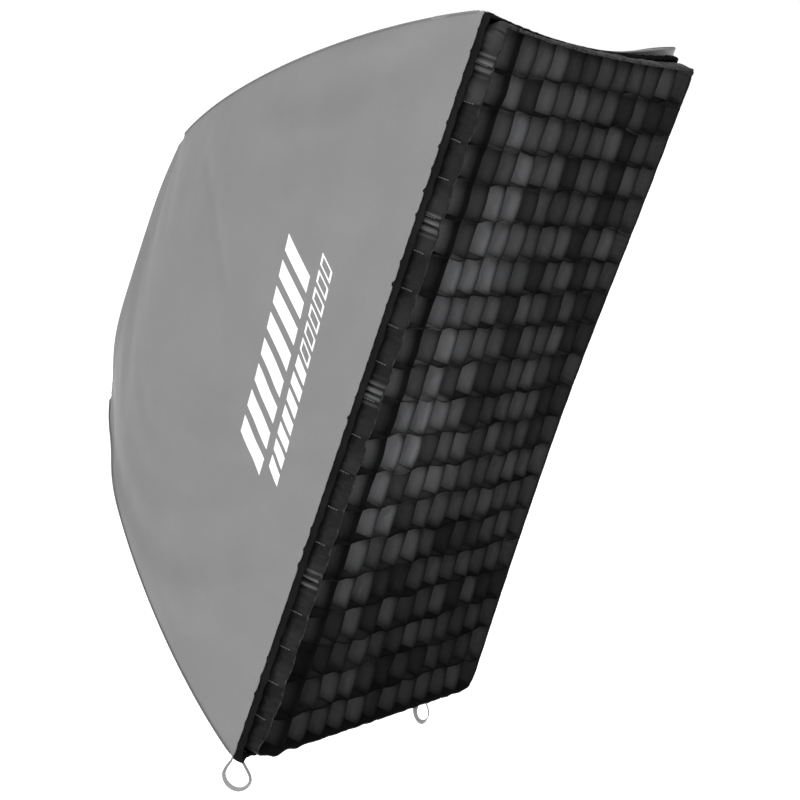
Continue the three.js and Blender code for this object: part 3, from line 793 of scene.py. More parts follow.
# ---- front edge: paths round the front, which sag as the cloth does ----
def front_path(half_x, half_z, corner, spacing=0.003, arc=10):
    """Points (x, z) round a rounded rectangle from the right end of the top, with normals and lengths."""
    points, normals = [], []
    for number, (sign_x, sign_z) in enumerate(CORNERS.values()):
        centre = np.array([sign_x * (half_x - corner), sign_z * (half_z - corner)])
        for angle in (number + np.linspace(0, 1, arc)) * math.pi / 2:
            normals.append(np.array([math.cos(angle), math.sin(angle)]))
            points.append(centre + corner * normals[-1])
        run = 2 * ((half_x, half_z)[number % 2] - corner)
        way = np.array([-normals[-1][1], normals[-1][0]])
        count, end = int(run / spacing), points[-1]
        for step in range(1, count):
            points.append(end + way * run * step / count)
            normals.append(normals[-1])
    points, normals = np.array(points), np.array(normals)
    return points, normals, run_of(points)


def sagged(points, half_x, half_z, top, side, bottom):
    """Moves points (x, z) inwards, most at the middle of each edge."""
    x, z = points[..., 0] / half_x, points[..., 1] / half_z
    near_top, near_side = smooth((np.abs(z) - 0.9) / 0.08), smooth((np.abs(x) - 0.9) / 0.08)
    down = np.where(z > 0, top, bottom) * (1 - np.clip(np.abs(x), 0, 1) ** 2) * near_top
    inward = side * (1 - np.clip(np.abs(z), 0, 1) ** 2) * near_side
    return np.stack([points[..., 0] - np.sign(x) * inward, points[..., 1] - np.sign(z) * down], -1)


def swept_front(path, section, sag):
    """Rings round the front: the section gives, per station, inset from the path and y."""
    points, normals, _ = path
    inset, y = section
    return lifted(sagged(points[:, None] - normals[:, None] * inset[..., None], HALF_X, HALF_Z, *sag), y)


EDGE_SAG = (TOP_EDGE_SAG, SIDE_EDGE_SAG, SIDE_EDGE_SAG)


def make_hem():
    """Binding folded over the front edge, drawn up by its stitches, with a pointed end at one corner."""
    rng = np.random.default_rng(3)
    path = front_path(HALF_X, HALF_Z, 0.006)
    points, normals, length = path
    scallop, swell, drift = wavering(rng, 0.018), wavering(rng, 0.021), wavering(rng, 0.12)
    cosine, sine = circle(18)
    across = np.sign(cosine) * np.abs(cosine) ** 0.7
    along = np.sign(sine) * np.abs(sine) ** 0.8
    tip = bell(np.linalg.norm(points + (HALF_X, HALF_Z), axis=1), 0.010)
    half_depth = 0.0044 + 0.0005 * swell(length) + 0.0025 * tip
    centre_y = (HEM_Y + SHELL_Y) / 2 + 0.0002 * drift(length) - 0.0025 * tip
    y = centre_y[:, None] + half_depth[:, None] * along
    y = y + 0.0009 * scallop(length)[:, None] * np.maximum(along, 0)
    thick = 0.0024 + 0.0003 * swell(length + 0.5)
    inset = 0.0019 - thick[:, None] * across - (0.0003 * scallop(length + 0.3) + 0.003 * tip)[:, None]
    add("front_hem_binding", swept_front(path, (inset, y), EDGE_SAG), "binding", "box", "hem_fabric",
        "front_hem", wrap=True, sharp=70)
    at = np.arange(0, length[-1], 0.0045)
    flat = sagged(sampled(at, length, points + normals * 0.0006), HALF_X, HALF_Z, *EDGE_SAG)
    face = lifted(sampled(at, length, normals), 0)
    stitches("hem_stitches", lifted(flat, SHELL_Y - 0.0022), np.cross(face, REARWARDS), face, "hem_thread",
             "box", "hem_fabric")


def tapered_front(path, insets, y):
    """Rings round the front which draw in by one inset across and another up and down."""
    flat = path[0][:, None] * (1 - insets / np.array([HALF_X, HALF_Z]))
    return lifted(sagged(flat, HALF_X, HALF_Z, *EDGE_SAG), y)


LIP_REACH = np.array([0.0105, 0.0150])


def make_lip():
    """The strip inside the hem that holds the diffuser, with the loop side of its fastening along it."""
    path = front_path(HALF_X, HALF_Z, 0.008)
    share = np.linspace(0, 1, 9)
    wave = wavering(np.random.default_rng(5), 0.05)
    ripple = 0.0006 * wave(path[2])[:, None] * np.sin(math.pi * share)
    insets = 0.0042 + LIP_REACH * share[:, None] + ripple[..., None]
    y = (SHELL_Y + 0.0006) + (box_of("front_lip")[1][1] - SHELL_Y - 0.0008) * share
    strip = two_sided(tapered_front(path, insets, y), 0.0012, wrap=True)
    add("lip_strip", strip, "binding", "box", "hem_fabric", "front_lip", wrap=True)
    pile = two_sided(tapered_front(path, insets[:, 5:] + 0.0011, y[5:]), 0.0008, wrap=True)
    add("lip_loop_pile", pile, "fleece", "box", "hem_fabric", wrap=True)


# ---- grid ----
GRID_SAG = (GRID_TOP_SAG, 0.0, 0.0)
COLUMN_AT = -GRID_X + COLUMN_PITCH * np.arange(1, GRID_COLUMNS)
ROW_AT = -GRID_Z + ROW_PITCH * np.arange(1, GRID_ROWS)
# Where the band's gathered ends were sewn in: height and half width.
PUCKERS = ((0.395, 0.013), (0.210, 0.014), (0.010, 0.015), (-0.220, 0.013))
PUCKER_PITCH = 0.0085
STRIP_SAMPLES = 9


def painted_wall_light(x, z):
    """How light a wall's cloth is painted: painted light, lightest left of the middle, and painted shade,
    darkest low down.
    """
    upper = 0.27 + 0.18 * smooth((z + 0.25) / 0.2)
    return upper + 0.98 * bell(x + 0.165, 0.11) * bell(z - 0.05, 0.27)


def front_recess(x, z):
    """How far the grid's slack front edge stands back from its plane."""
    middle = 1 - np.clip(np.abs(z) / GRID_Z, 0, 1) ** 2
    proud = 0.0075 * smooth(z / 0.4 + 0.2) * smooth(x / GRID_X)
    return 0.002 + 0.004 * smooth(-x / GRID_X * 8 - 7) + 0.007 * middle * smooth(x / GRID_X) - proud


def narrowing(share):
    return np.clip((share - GRID_KNEE) / (1 - GRID_KNEE), 0, 1)


def cell_phase(across, pitch, half):
    """The number of the cell along one side, and the place in it, from 0 to 1."""
    share = (across + half) / pitch
    number = np.floor(share)
    return number.astype(int), share - number


def band_gathers(z):
    """The ridges where the band's gathered ends were sewn in."""
    return sum(bell(z - height, half) * np.sin(2 * math.pi * (z - height) / PUCKER_PITCH)
               for height, half in PUCKERS)


def corner_distance(points, sign_x, sign_z):
    return np.linalg.norm(points - np.array([sign_x * GRID_X, sign_z * GRID_Z]), axis=1)


def corner_bulge(points, level, share):
    """The front edge stands out in lobes by the lower left corner and is drawn in at the lower right."""
    low_corner = corner_distance(points, -1, -1)
    lobes = 0.0030 * np.sin(2 * math.pi * (points[:, 0] - 0.012) / 0.046) * level * bell(low_corner, 0.09)
    out = lobes + 0.0055 * bell(low_corner, 0.028) - 0.0055 * bell(corner_distance(points, 1, -1), 0.017)
    return out[:, None] * (1 - share)


def make_band():
    """The cloth round the grid: puffed between the strips, gathered in places and loose at its corners."""
    rng = np.random.default_rng(11)
    path = front_path(GRID_X, GRID_Z, GRID_CORNER, spacing=0.0022, arc=14)
    points, normals, length = path
    x, z = points.T
    share = np.linspace(0, 1, 17)
    side = np.abs(normals[:, 0]) > 0.7
    left, right, top, bottom = side & (x < 0), side & (x > 0), ~side & (z > 0), ~side & (z < 0)
    row, in_row = cell_phase(z, ROW_PITCH, GRID_Z)
    column, in_column = cell_phase(x, COLUMN_PITCH, GRID_X)
    cell = np.where(side, row, 40 + column) + 50 * (x > 0)
    phase = np.where(side, in_row, in_column)
    puffs = np.abs(np.sin(math.pi * phase)) ** 0.75
    swell = rng.uniform(0.5, 1.5, 200)[cell] * np.select([left, top, bottom], [1.2, 0.7, 0.5], 0.15)
    wave, fine, edge = wavering(rng, 0.05), wavering(rng, 0.013), wavering(rng, 0.03)
    rise = np.sin(math.pi * np.clip(share / 0.62, 0, 1)) ** 0.8
    bulge = 0.0026 * (puffs * swell)[:, None] * rise
    crumple = 0.0007 * fine(length) * np.where(left | top, 1.0, 0.3)
    bulge = bulge + crumple[:, None] * np.sin(2 * math.pi * share + 3 * wave(length)[:, None])
    gathers = band_gathers(z) * side
    bulge = bulge + (0.0019 * gathers)[:, None] * (0.25 + 0.75 * rise)
    low_corner, high_corner = (corner_distance(points, -1, sign) for sign in (-1, 1))
    bulge = bulge + corner_bulge(points, ~side, share) + 0.0025 * bell(high_corner, 0.03)[:, None] * rise
    bulge = bulge + (0.0055 * top)[:, None] * smooth((0.62 - share) / 0.4)
    y = np.interp(share, (0, GRID_KNEE, 1), (GRID_FRONT_Y, GRID_KNEE_Y, GRID_REAR_Y))
    taper = np.where(side, GRID_TAPER_X, GRID_TAPER_Z)[:, None] * narrowing(share)
    slack = np.where(right, 0.25, 1.0) * (0.0004 * edge(length) - 0.0009 * puffs)
    front = front_recess(x, z) + slack + 0.005 * bell(low_corner, 0.03)
    y = y + front[:, None] * np.clip(1 - share / 0.5, 0, 1)
    inset = BAND / 2 + taper - bulge
    surface = swept_front(path, (inset, y), GRID_SAG)
    tone = band_tone(rng, cell, phase, x, z, share, (left, top, gathers, high_corner))
    inside = np.where(right[:, None], inner_tone(cell, phase, x, z, share), tone)
    rings = two_sided(surface, BAND, wrap=True)
    # The band's other face carries the same tone at 0.6: painted shade.
    piece = add("grid_band_fabric", rings, "band", "grid", "grid_fabric", "grid_band", wrap=True,
                tone=np.concatenate([inside, tone[:, ::-1] * 0.6], 1), sharp=75)
    make_band_edge(path, inset, y, left | top)
    make_band_threads(surface, points)


def band_tone(rng, cell, phase, x, z, share, marks):
    """The band is near black, with lighter patches of random strength low in its upper cells, painted
    highlights along its gathers and at its upper left corner, painted light on its top side and painted shade
    towards its edges.
    """
    left, top, gathers, high_corner = marks
    base = rng.uniform(0.003, 0.020, 200)[cell]
    patch = rng.choice((0.01, 0.03, 0.10, 0.26), 200)[cell] * (0.25 + 0.75 * smooth((z - 0.02) / 0.15))
    wear_and_sheen = np.where(left, patch * smooth((0.8 - phase) / 0.5), 0.02)
    # Painted highlights at the upper left corner and along the gathers.
    wear_and_sheen = wear_and_sheen + 0.26 * bell(high_corner, 0.035) + left * 1.5 * np.clip(gathers - 0.15, 0, 1)
    # Painted light on the top side, more of it to the right.
    lit_top = top * (0.06 + smooth((x + 0.22) / 0.2) * (0.28 + 0.22 * wavering(rng, 0.02)(cell + phase)))
    # Painted shade towards the front and rear edges.
    fade = 0.55 + 0.45 * np.sin(math.pi * np.clip(share / 0.6, 0, 1))
    return np.clip((base + wear_and_sheen + lit_top)[:, None] * fade, 0.005, 1)


def inner_tone(cell, phase, x, z, share):
    """The band's inside at the far end is one more wall of cells, with the strips' painted light and shade:
    darker near the crossings and towards the front edge.
    """
    patch = np.random.default_rng(13).choice((0.45, 0.7, 0.9, 1.1), 200)[cell]
    ends = 0.55 + 0.45 * smooth(np.minimum(phase, 1 - phase) / 0.2)
    return (0.8 * painted_wall_light(x, z) * patch * ends)[:, None] * (0.42 + 0.58 * smooth(share / 0.3))


def make_band_edge(path, inset, y, lit_sides):
    """The rolled front edge of the band, lighter in places, with painted light: twice as light on its left
    and top sides as on the others.
    """
    length = path[2]
    section = ellipse(0.0010, 0.0012, 10)
    roll_inset = inset[:, :1] + section[None, :, 0]
    roll_y = y[:, :1] + 0.0004 + section[None, :, 1]
    rings = swept_front(path, (roll_inset, roll_y), GRID_SAG)
    wear_and_sheen = wavering(np.random.default_rng(12), 0.016)(length)
    tone = np.clip(0.015 + 0.05 * wear_and_sheen, 0.004, 0.5) * np.where(lit_sides, 1, 0.5)
    add("grid_band_roll", rings, "band", "grid", "grid_fabric", wrap=True,
        tone=np.broadcast_to(tone[:, None], rings.shape[:2]), sharp=75)


def make_band_threads(surface, points):
    """A line of stitches across the band at the end of every strip."""
    normals = normals_of(surface, wrap=True)
    places, ways, faces = [], [], []
    spots = [(sign * GRID_X, z, ACROSS) for z in ROW_AT for sign in (-1, 1)]
    spots += [(x, sign * GRID_Z, UP) for x in COLUMN_AT for sign in (-1, 1)]
    for x, z, axis in spots:
        station = int(np.argmin(np.linalg.norm(points - (x, z), axis=1)))
        line, face = surface[station], normals[station]
        outward = axis * np.sign(line.mean(0))
        face = face * np.sign(face @ outward)[:, None]
        run = run_of(line)
        at = np.arange(0.0090, run[-1] * 0.97, 0.0034)
        places.append(sampled(at, run, line + face * BAND * 0.62))
        ways.append(sampled(at, run, unit(np.gradient(line, axis=0))))
        faces.append(sampled(at, run, face))
    stitches("grid_band_stitches", *map(np.concatenate, (places, ways, faces)), "grid_thread", "grid",
             "grid_fabric", length=0.0033, width=0.0015)


def make_strips():
    """Eleven upright and nineteen level strips, sewn together where they cross and loose between."""
    rng = np.random.default_rng(17)
    shift_x = rng.uniform(-0.0028, 0.0028, (GRID_COLUMNS + 1, GRID_ROWS + 1))
    shift_z = rng.uniform(-0.0036, 0.0036, (GRID_COLUMNS + 1, GRID_ROWS + 1))
    shift_x[0] = shift_x[-1] = 0
    shift_z[:, 0] = shift_z[:, -1] = 0
    for i in range(1, GRID_COLUMNS):
        make_strip(f"column_{i:02d}", rng, True, i, shift_x[i])
    for k in range(1, GRID_ROWS):
        make_strip(f"row_{k:02d}", rng, False, k, shift_z[:, k])


def make_strip(name, rng, upright, number, shifts):
    cells, half = (GRID_ROWS, GRID_Z) if upright else (GRID_COLUMNS, GRID_X)
    at = (COLUMN_AT if upright else ROW_AT)[number - 1]
    share = np.linspace(0, 1, 9)
    place = np.linspace(0, cells, cells * STRIP_SAMPLES + 1)
    cell = np.minimum(place.astype(int), cells - 1)
    phase = place - cell
    puff = np.sin(math.pi * phase) ** 1.4
    way = rng.choice((-1, 1), cells) * rng.uniform(0.0006, 0.0034, cells)
    skew, fold = rng.uniform(-1, 1, cells), rng.uniform(0.2, 1.0, cells)
    loose = 1 - 0.75 * share
    aside = at + (np.interp(place, np.arange(cells + 1), shifts) + way[cell] * puff)[:, None] * loose
    folded = 0.0010 * (fold[cell] * np.sin(2 * math.pi * phase))
    aside = aside + folded[:, None] * np.cos(1.3 * math.pi * share)
    aside = aside + 0.0014 * (skew[cell] * puff)[:, None] * np.sin(2.2 * math.pi * share)
    inner = half - BAND * 0.6 - (GRID_TAPER_Z if upright else GRID_TAPER_X) * narrowing(share)
    along = (place / cells * 2 - 1)[:, None] * inner
    x, z = (aside, along) if upright else (along, aside)
    ease = bell(z - GRID_Z, 0.9 * ROW_PITCH)
    z = z - GRID_TOP_SAG * (1 - (x / GRID_X) ** 2) * ease + 0.003 * ease * upright * (1 - share)
    y = GRID_FRONT_Y + 0.0008 + (GRID_REAR_Y - GRID_FRONT_Y - 0.0016) * share
    uneven = 0.0016 - 0.0011 * rng.uniform(0.2, 1.0, cells)[cell] * puff
    y = y + front_recess(x, z) * np.clip(1 - share / 0.5, 0, 1) + uneven[:, None] * (1 - share) ** 3
    tone = strip_tone(rng, x, z, share, upright, cell, phase, number)
    piece = add(f"grid_{name}_fabric", two_sided(np.stack([x, y, z], -1), STRIP), "nylon", "grid",
                "grid_fabric", f"grid_{name}", tone=np.concatenate([tone, tone[:, ::-1]], 1), sharp=75)


def strip_tone(rng, x, z, share, upright, cell, phase, number):
    """A wall's painted light and shade: lighter deep inside its cell than at the front edge, darker near the
    crossings, with random patches.
    """
    patch = rng.choice((0.35, 0.65, 0.95, 1.1, 1.4), cell.max() + 1)[cell]
    dashes = rng.choice((0.1, 0.25, 0.7), cell.max() + 1)[cell]
    # Painted shade: each wall darker at its front than deep in the cell, and the first upright strip darkest
    # at its front, beside the band.
    first = upright and number == 1
    deeper = smooth((share - 0.08) / 0.45) if first else 0.42 + 0.58 * smooth(share / 0.3)
    tone = painted_wall_light(x, z) * patch[:, None] * deeper
    # Painted shade under the level strip above each cell; the level strips darker still, most at the far
    # left.
    if upright:
        height = (0.55 + 0.45 * smooth((1 - phase) / 0.35)) * (0.75 + 0.25 * smooth(phase / 0.15))
        tone = tone * height[:, None]
    else:
        tone = tone * (0.55 - 0.35 * smooth((-0.215 - x) / 0.03))
    # Painted shade near the crossings, towards the front.
    crossing = bell(np.minimum(phase, 1 - phase), 0.10)
    tone = tone * (1 - 0.6 * crossing[:, None] * (1 - smooth(share / 0.5)))
    # Painted shade on the front cut edge, in dashes of random strength on the level strips.
    cut_edge = 0.15 if upright else dashes[:, None]
    return np.clip(np.where(share < 0.03, tone * cut_edge, tone), 0.004, 1)


# ---- diffusers ----
DIFFUSER_SAG = (0.012, 0.001, 0.002)
INNER_HALF_X, INNER_HALF_Z = 0.205, 0.320
DIFFUSER_CLOTH = 0.0007
STRAP_START, STRAP_END = (INNER_HALF_X - 0.020, INNER_HALF_Z - 0.030), 0.392


def wavy_plane(half_x, half_z, y, rng, height, rows=61, columns=91):
    """A level sheet of cloth with faint waves, which die out towards its edges."""
    x = np.linspace(-half_x, half_x, rows)[:, None] + np.zeros(columns)
    z = np.linspace(-half_z, half_z, columns)[None, :] + np.zeros((rows, 1))
    fade = smooth((1 - np.abs(x) / half_x) / 0.15) * smooth((1 - np.abs(z) / half_z) / 0.1)
    ripples = wavering(rng, 0.24)(x + 0.5 * z) + wavering(rng, 0.2)(z - 0.4 * x)
    return np.stack([x, y + height * fade * ripples, z], -1)


def edge_tape(name, half_x, half_z, y, width, thickness, kinds, body, sag=(0, 0, 0)):
    """A tape sewn round a flat sheet's edge, which sags as the sheet does."""
    path = front_path(half_x, half_z, 0.006, spacing=0.006)
    section = ellipse(width / 2, thickness / 2, 12, 0.6)
    points = path[0][:, None] - path[1][:, None] * (section[None, :, :1] + width / 2 - 0.0006)
    rings = lifted(sagged(points, half_x, half_z, *sag), y + section[:, 1])
    add(name, rings, kinds, body, "diffusion_fabric", wrap=True, sharp=70)


def make_diffusers():
    """The front cloth behind the grid, and the smaller one hung from the rods inside."""
    rng = np.random.default_rng(29)
    low, high = box_of("front_diffuser")
    y = (low[1] + high[1]) / 2
    surface = wavy_plane(high[0] - 0.0008, high[2] - 0.0008, y, rng, 0.0006)
    surface[..., 0::2] = sagged(surface[..., 0::2], high[0], high[2], *DIFFUSER_SAG)
    piece = add("front_diffuser_cloth", two_sided(surface, DIFFUSER_CLOTH), "white", "front_diffuser",
                "diffusion_fabric", "front_diffuser")
    edge_tape("front_diffuser_hook_tape", high[0], high[2], y, 0.020, 0.0022, "fleece", "front_diffuser",
              DIFFUSER_SAG)
    low, high = box_of("inner_diffuser")
    y = (low[1] + high[1]) / 2
    surface = wavy_plane(INNER_HALF_X, INNER_HALF_Z, y, rng, 0.0008)
    piece = add("inner_diffuser_cloth", two_sided(surface, DIFFUSER_CLOTH), "white", "inner_diffuser",
                "diffusion_fabric", "inner_diffuser")
    edge_tape("inner_diffuser_binding", INNER_HALF_X, INNER_HALF_Z, y, 0.016, 0.0024, "white",
              "inner_diffuser")
    for name, corner in CORNERS.items():
        make_strap(name, corner, y)


def make_strap(name, corner, y):
    """The elastic strap from a diffuser corner to its rod, with a folded, stitched end."""
    start = np.array([corner[0] * STRAP_START[0], y, corner[1] * STRAP_START[1]])
    end = corner_ways(corner)[0] * STRAP_END + REARWARDS * y
    share = np.linspace(0, 1, 40)[:, None]
    path = start + (end - start) * share + REARWARDS * 0.0012 * np.sin(9 * share)
    add(f"inner_diffuser_strap_{name}", tube_rings(path, ellipse(0.0095, 0.0011, 14, 0.5), REARWARDS), "tape",
        "inner_diffuser", "diffusion_fabric", **TUBE)
    way = unit(end - start)
    aside = np.cross(way, REARWARDS)
    bar = np.linspace(-0.007, 0.007, 6)[:, None]
    places = np.concatenate([start + way * gap + aside * bar - REARWARDS * 0.0013 for gap in (0.012, 0.020)])
    stitches(f"inner_diffuser_bartack_{name}", places, np.tile(aside, (12, 1)), np.tile(-REARWARDS, (12, 1)),
             "thread", "inner_diffuser", "diffusion_fabric", length=0.0026)


# ---- rear flaps ----
FLAP_TILT = math.atan2(0.0135, 0.0645)
FLAP_REACH, FLAP_EDGE, FLAP_HINGE_Z = 0.066, 0.0015, 0.176
FLAP_TRIM = {"top": 0, "bottom": 0.009}
PATCH_HALF_X, PATCH_REACH = 0.055, (0.036, 0.054)


def make_flaps():
    """Flaps that close the rear opening above and below the ring, each hinged on its panel's edge."""
    rng = np.random.default_rng(31)
    for name, sign in (("top", 1), ("bottom", -1)):
        body = f"rear_flap_{name}"
        half = box_of(body)[1][0] - FLAP_TRIM[name]
        hinge = np.array([0, SEAM[0][1], sign * FLAP_HINGE_Z])
        inward = np.array([0, math.sin(FLAP_TILT), -sign * math.cos(FLAP_TILT)])
        out = np.array([0, math.cos(FLAP_TILT), sign * math.sin(FLAP_TILT)])

        def on_flap(x, reach, lift):
            return hinge + inward * reach[None, :, None] + ACROSS * x[:, None, None] + out * lift

        x = np.linspace(0.002 - half, half - 0.002, 71)
        reach = np.linspace(FLAP_EDGE, FLAP_REACH - 0.002, 25)
        fade = smooth((1 - np.abs(x) / half) / 0.2)[:, None] * np.sin(math.pi * np.linspace(0, 1, 25))
        ripple = wavering(rng, 0.09)(x[:, None] + 0.3 * reach) * 0.0005 * fade
        surface = on_flap(x, reach, ripple[..., None] - FABRIC / 2)
        if (normals_of(surface)[30, 12] @ out) < 0:
            surface = surface[::-1]
        piece = add(f"flap_{name}", two_sided(surface, FABRIC), "outer silver", body, "shell_fabric",
                    f"rear_flap_{name}", slots=sheet_slots(25, 0, 1))
        rings = tube_rings(flap_border(half, hinge, inward, out), ellipse(0.0040, 0.0013, 12, 0.6), out)
        add(f"flap_binding_{name}", rings, "binding", body, "hem_fabric", **TUBE)
        patch = on_flap(np.linspace(-PATCH_HALF_X, PATCH_HALF_X, 41), np.linspace(*PATCH_REACH, 9), 0.0009)
        add(f"flap_pile_{name}", two_sided(patch, 0.0012), "fleece", body, "hem_fabric")
        make_flap_hinge(name, sign, half, hinge, inward, out)


def flap_border(half, hinge, inward, out):
    """Along one end, the free edge and the other end of a flap, with rounded corners."""
    radius, inset = 0.0035, 0.003
    across, deep = half - inset, FLAP_REACH - inset
    outline = [(-across, FLAP_EDGE + inset), (-across, deep * 0.5)]
    for centre_x, start in ((-across + radius, math.pi), (across - radius, math.pi / 2)):
        for angle in np.linspace(start, start - math.pi / 2, 8):
            outline.append((centre_x + radius * math.cos(angle), deep - radius + radius * math.sin(angle)))
    outline += [(across, deep * 0.5), (across, FLAP_EDGE + inset)]
    run = run_of(outline)
    x, reach = sampled(np.linspace(0, run[-1], 160), run, outline).T
    return hinge + x[:, None] * ACROSS + reach[:, None] * inward - out * FABRIC / 2


def make_flap_hinge(name, sign, half, hinge, inward, out):
    """The strip of cloth that joins a flap to its panel, bent along the hinge."""
    panel_way = unit(np.array([0, SEAM[1][1] - SEAM[0][1], sign * CORNER_Z * (SEAM[1][0] - SEAM[0][0])]))
    share = np.linspace(-1, 1, 13)[:, None]
    line = hinge + 0.010 * np.where(share < 0, -share * panel_way, share * inward)
    line = line + out * 0.00064 * np.abs(share) ** 0.5
    x = np.linspace(-half + 0.004, half - 0.004, 61)
    surface = line[None, :] + ACROSS * x[:, None, None]
    piece = skin(f"flap_hinge_{name}", two_sided(surface, 0.0012), "binding")
    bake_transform(piece)


# ---- rods, pockets and rings ----
SOCKET_START, SOCKET_END, SOCKET_Y, SOCKET_TILT = 0.092, 0.116, -0.0155, math.radians(12)
ROD_STRAIGHT, ROD_OFFSET, ROD_TIP, ROD_RADIUS = 0.150, 0.018, 0.88, 0.00325
# Profiles as (distance along, radius), and screws as (radius, height, hexagonal or not).
POCKET_PROFILE = ((-0.032, 0.0054), (-0.0315, 0.0060), (-0.0300, 0.0058), (-0.022, 0.0058), (-0.0215, 0.0062),
                  (-0.0205, 0.0062), (-0.020, 0.0058), (-0.004, 0.0058), (0.0, 0.0055), (0.0012, 0.0040),
                  (0.002, 0.0012))
SOCKET_PROFILE = ((0.0, 0.0082), (0.018, 0.0072), (0.0225, 0.0070), (0.0238, 0.0068), (0.0243, 0.0062),
                  (0.0243, 0.0044), (0.0240, 0.0036), (0.0232, 0.0034), (0.004, 0.0034))
SET_SCREW = ((0.0022, 0.0, 0), (0.0022, 0.0076, 0), (0.0021, 0.0082, 0), (0.0018, 0.0084, 0),
             (0.0011, 0.0084, 1), (0.0010, 0.0070, 1))
PLATE_SCREW = ((0.0012, -0.0018, 0), (0.0027, -0.0002, 0), (0.0028, 0.0001, 0), (0.0026, 0.0003, 0),
               (0.00135, 0.0003, 1), (0.0012, -0.0010, 1))
SCREW_CIRCLE, SCREWS = 0.0824, 6


def on_socket(radius):
    """The y of a socket's axis, which leans forward as it goes out."""
    return SOCKET_Y - (radius - SOCKET_START) * math.tan(SOCKET_TILT)


def rod_route(outwards):
    """Straight out of the socket, then along inside the corner seam at an even distance."""
    route = [(radius, on_socket(radius)) for radius in (SOCKET_START + 0.001, SOCKET_END, ROD_STRAIGHT)]
    for share in np.linspace(0, ROD_TIP, 6):
        tangent = unit(seam_at(share + 1e-4) - seam_at(share - 1e-4))
        route.append(seam_at(share) + np.array([tangent[1], -tangent[0]]) * ROD_OFFSET)
    return np.array([outwards * radius + REARWARDS * y for radius, y in route])


def make_rods():
    """A bent rod in every corner, with its socket on the ring and its pocket at the hem."""
    for name, corner in CORNERS.items():
        outwards, aside = corner_ways(corner)
        path = smooth_route(slackened(rod_route(outwards)), 120)
        add(f"bent_rod_{name}", tube_rings(path, ellipse(ROD_RADIUS, ROD_RADIUS, 24), aside), "rod", "box",
            "rod_steel", f"rod_{name}", cap="fan", sharp=60)
        way = unit(path[-1] - path[-4])
        reach, girth = np.array(POCKET_PROFILE).T
        sleeve = stem_rings(path[-1] + reach[:, None] * way, girth, aside, unit(np.cross(way, aside)), 28)
        add(f"rod_pocket_{name}", sleeve, "binding", "box", "hem_fabric", f"corner_pocket_{name}", cap="fan",
            sharp=50)
        make_gusset(name, corner, path[-1], way, aside)
        make_socket(name, outwards, aside)


def make_gusset(name, corner, tip, way, aside):
    """The webbing that ties a rod pocket to the corner of the front hem."""
    end = np.array([corner[0] * (HALF_X - 0.012), SHELL_Y + 0.006, corner[1] * (HALF_Z - 0.017)])
    share = np.linspace(0, 1, 24)[:, None]
    off = np.cross(way, aside)
    path = (tip - way * 0.018) * (1 - share) + end * share
    path = path + unit(off) * 0.0062 * np.sign(off @ tip) * (1 - share)
    add(f"pocket_webbing_{name}", tube_rings(path, ellipse(0.0008, 0.0058, 12, 0.6), aside), "binding", "box",
        "hem_fabric", cap="fan", sharp=60)


def make_socket(name, outwards, aside):
    """A cast socket on the ring, with the set screw that holds its rod."""
    def at(radius):
        return outwards * radius + REARWARDS * on_socket(radius)
    way = unit(at(SOCKET_END) - at(SOCKET_START))
    up = np.cross(way, aside)
    reach, girth = np.array(SOCKET_PROFILE).T
    socket = stem_rings(at(SOCKET_START) + reach[:, None] * way, girth, aside, up, 40)
    add(f"rod_socket_{name}", socket, "ring", "box", "ring_metal", **METAL)
    screw = screw_rings(at(SOCKET_START + 0.016), np.sign(up[1]) * up, aside, way, 24, SET_SCREW)
    add(f"set_screw_{name}", screw, "steel", "box", "adapter_steel", cap="fan", sharp=30)


def make_speed_ring():
    """The cast ring with its groove, and the plate that holds the adapter in it by six screws."""
    front, rear = -0.0291, box_of("speed_ring")[1][1]
    profile = [(0.077, front), (0.0945, front), (0.0955, front + 0.001), (0.1035, front + 0.001),
               (0.105, front + 0.0025), (0.105, -0.0205), (0.1030, -0.0195), (0.1030, -0.0125),
               (0.105, -0.0115), (0.105, rear - 0.0015), (0.1035, rear), (0.0883, rear), (0.0883, -0.0097),
               (0.077, -0.0097)]
    lathe("speed_ring_casting", profile, "ring", "box", "ring_metal", "speed_ring")
    plate = [(0.0769, -0.0094), (0.088, -0.0094), (0.088, rear), (0.0769, rear)]
    lathe("retaining_ring_plate", plate, "ring", "adapter", "ring_metal", "retaining_ring", corner=0.0005)
    for number in range(SCREWS):
        angle = math.radians(360 / SCREWS * number)
        centre = np.array([SCREW_CIRCLE * math.cos(angle), rear, SCREW_CIRCLE * math.sin(angle)])
        screw = screw_rings(centre, REARWARDS, ACROSS, UP, 36, PLATE_SCREW)
        add(f"retaining_screw_{number + 1}", screw, "steel", "adapter", "adapter_steel", cap="fan", sharp=30)


def make_adapter():
    """The steel ring that the lamp head locks into, with its three bayonet lugs."""
    low, high = box_of("adapter_ring")
    front, rear = low[1], high[1]
    profile = [(0.062, front), (0.084, front), (0.084, -0.0294), (0.0766, -0.0294), (0.0766, -0.0235),
               (0.0760, -0.0230), (0.0760, -0.0120), (0.0766, -0.0115), (0.0766, -0.006), (0.070, -0.006),
               (0.070, rear), (0.0645, rear), (0.062, rear - 0.0025)]
    lathe("adapter_body", profile, "steel", "adapter", "adapter_steel", "adapter_ring")
    section = rounded_profile([(0.0690, -0.0032), (0.0755, -0.0032), (0.076, -0.0028), (0.076, -0.0004),
                               (0.0756, -0.0001), (0.0690, -0.0001)], 0.0004)
    radius, y = np.array(section).T
    half = math.radians(26)
    for number in range(3):
        middle = number * 2 * math.pi / 3
        angle = np.linspace(middle - half, middle + half, 60)[:, None]
        ease = 1 - 0.35 * smooth((np.abs(angle - middle) - half + 0.12) / 0.12)
        out = 0.069 + (radius - 0.069) * ease
        rings = np.stack([out * np.cos(angle), y + 0 * out, out * np.sin(angle)], -1)
        add(f"bayonet_lug_{number + 1}", rings, "steel", "adapter", "adapter_steel", **METAL)


